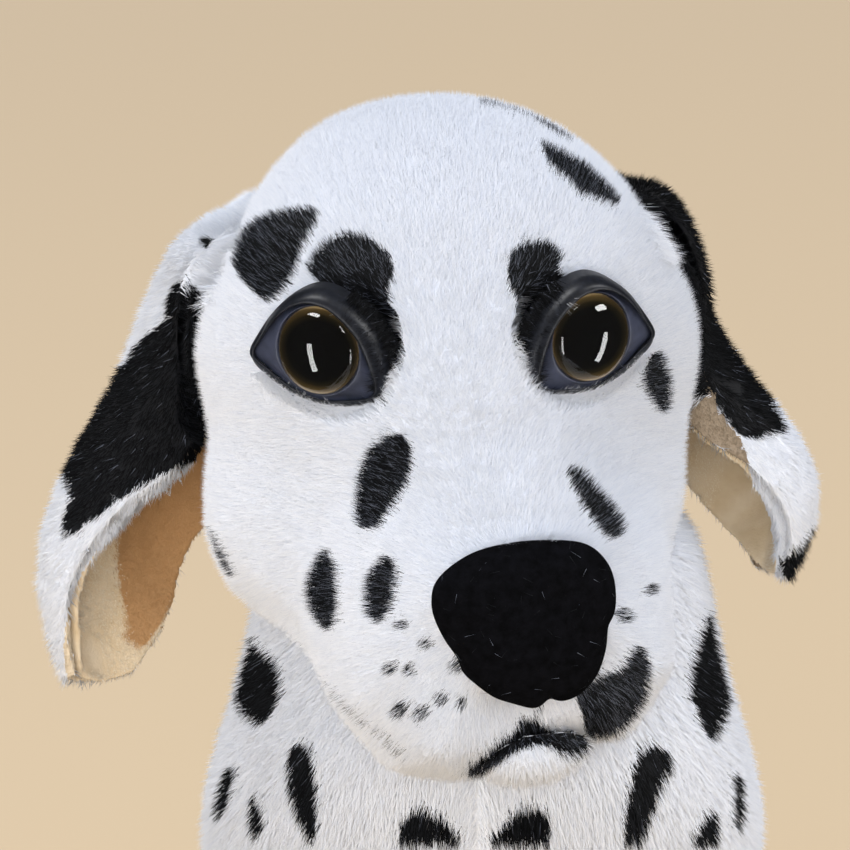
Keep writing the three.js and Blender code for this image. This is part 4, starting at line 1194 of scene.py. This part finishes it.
def make_nose():
    centre = Vector(NOSE_MIDDLE)
    low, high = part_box("nose")
    centre.y = low.y + 9 * MM
    pixels = even_ring(NOSE_OUTLINE, NOSE_SEGMENTS)
    outline = np.array([from_photo(p, centre, NOSE_FACING) for p in pixels])
    heart = outline.mean(0)
    soft = outline.copy()
    for _ in range(60):
        soft = (np.roll(soft, 1, axis=0) + 2 * soft + np.roll(soft, -1, axis=0)) / 4
    dents = [(np.array(from_photo(pixel, centre, NOSE_FACING)), r, d) for pixel, r, d in NOSTRILS]
    facing = np.array(NOSE_FACING)
    rings = []
    for share, depth in [(0.5, -9.0), (0.85, -8.6), (0.92, -7.0), (0.97, -3.0)]:
        rings.append([Vector(p) for p in heart + (soft - heart) * share + facing * depth * MM])
    for share in (1.0, 0.995, 0.98, 0.95, 0.9, 0.83, 0.75, 0.66, 0.56, 0.46, 0.36, 0.26, 0.16, 0.06):
        notch = max(0.0, (share - 0.6) / 0.4)
        ring = heart + (soft + (outline - soft) * notch - heart) * share
        rise = np.full(len(ring), NOSE_CROWN * (1 - share**NOSE_ROUND) ** (1 / NOSE_ROUND))
        for place, radius, depth in dents:
            away = np.linalg.norm(ring - place, axis=1) / (radius * MM)
            rise -= depth * MM * np.exp(-(away**2))
        rings.append([Vector(p) for p in ring + facing * rise[:, None]])
    piece = loft("flocked_nose", rings, flocked_nose(), subdivide=1)
    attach(piece, "head")
    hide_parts("nose")


def nose_lint():
    """Stray fibres that cling to the flock."""
    rng = np.random.default_rng(500)
    mesh = bpy.data.objects["flocked_nose"].data
    roots, ups = roots_on(mesh, np.full(len(mesh.polygons), 0.05 * PER_MM2), rng)
    grow_pile("nose", "lint_nose", roots, ups, rng.normal(0, 1, roots.shape), LINT, "black", COAT_PILES, rng)


make_nose()
nose_lint()


# Studio: a pale floor that reaches behind the whole picture, and soft lamps
FLOOR_REACH = 14.0


def make_stage():
    shape = bmesh.new()
    bmesh.ops.create_grid(shape, x_segments=1, y_segments=1, size=FLOOR_REACH)
    mesh = bpy.data.meshes.new("floor")
    shape.to_mesh(mesh)
    shape.free()
    smooth_faces(mesh)
    paper = new_material("pale_paper", "#CBB28D", Roughness=0.95)[0]
    floor = link("floor", mesh, paper)
    floor.location.z = -0.2 * MM
    floor.visible_glossy = False

    world = bpy.data.worlds.new("studio")
    bpy.context.scene.world = world
    world.use_nodes = True
    tree = world.node_tree
    tree.nodes.clear()
    path = add_node(tree, "ShaderNodeLightPath")
    air = add_node(tree, "ShaderNodeBackground", inputs={"Color": linear("#EDF2FD"), "Strength": 1.4})
    dim_room = add_node(tree, "ShaderNodeBackground", inputs={"Color": linear("#F4F6FA"), "Strength": 0.02})
    mix = add_node(
        tree,
        "ShaderNodeMixShader",
        inputs={0: path.outputs["Is Glossy Ray"], 1: air.outputs[0], 2: dim_room.outputs[0]},
    )
    add_node(tree, "ShaderNodeOutputWorld", inputs={"Surface": mix.outputs[0]})


def make_lamp(name, place, aim, width, height, power, lights=True, mirrored_too=True):
    data = bpy.data.lights.new(name, "AREA")
    data.shape = "RECTANGLE"
    data.size, data.size_y, data.energy = width, height, power
    lamp = bpy.data.objects.new(name, data)
    bpy.context.scene.collection.objects.link(lamp)
    lamp.location = place
    lamp.rotation_mode = "QUATERNION"
    lamp.rotation_quaternion = (Vector(aim) - Vector(place)).to_track_quat("-Z", "Y")
    lamp.visible_camera = False
    lamp.visible_diffuse = lights
    lamp.visible_glossy = mirrored_too


def mirrored(side, pixel):
    """Where a dome shows the pixel, and the way in which it mirrors the camera's line of sight there."""
    centre, across, up, out = EYES[side]
    base = centre + out * LENS_RIM * MM
    radii = np.array([LENS_RADIUS, LENS_RADIUS * LENS_TALL_SHARE, LENS_CROWN]) * MM
    axes = np.array([across, up, out])
    start = axes @ np.array(eye_point - base) / radii
    sight = (from_photo(pixel, base, look) - eye_point).normalized()
    step = axes @ np.array(sight) / radii
    a, b, c = step @ step, start @ step, start @ start - 1
    reach = (-b - math.sqrt(max(b * b - a * c, 0))) / a
    normal = Vector((start + step * reach) / radii @ axes).normalized()
    return eye_point + sight * reach, sight - 2 * sight.dot(normal) * normal


def mirror_lamp(name, side, pixel, away, width, height, power, lights=True):
    place, way = mirrored(side, pixel)
    make_lamp(name, place + way * away, place, width, height, power, lights)


HEAD_AIM = (0, -0.1, 0.27)
make_stage()
mirror_lamp("window_left", "right", (314, 314), 1.5, 0.8, 0.42, 20, lights=False)
mirror_lamp("window_right", "left", (601, 307), 1.5, 0.7, 0.42, 17, lights=False)
mirror_lamp("strip_left", "right", (311, 358), 0.36, 0.055, 0.24, 0.55, lights=False)
mirror_lamp("strip_right", "left", (603, 348), 0.36, 0.055, 0.24, 0.55, lights=False)
make_lamp("front", (-0.35, -1.95, 0.5), HEAD_AIM, 1.2, 1.2, 15.5, mirrored_too=False)
make_lamp("side_left", (-1.6, -1.0, 0.2), HEAD_AIM, 1.2, 1.2, 11, mirrored_too=False)
make_lamp("side_right", (1.6, -0.9, 0.2), HEAD_AIM, 1.2, 1.2, 11, mirrored_too=False)

scene = bpy.context.scene
scene.view_settings.view_transform = "Standard"
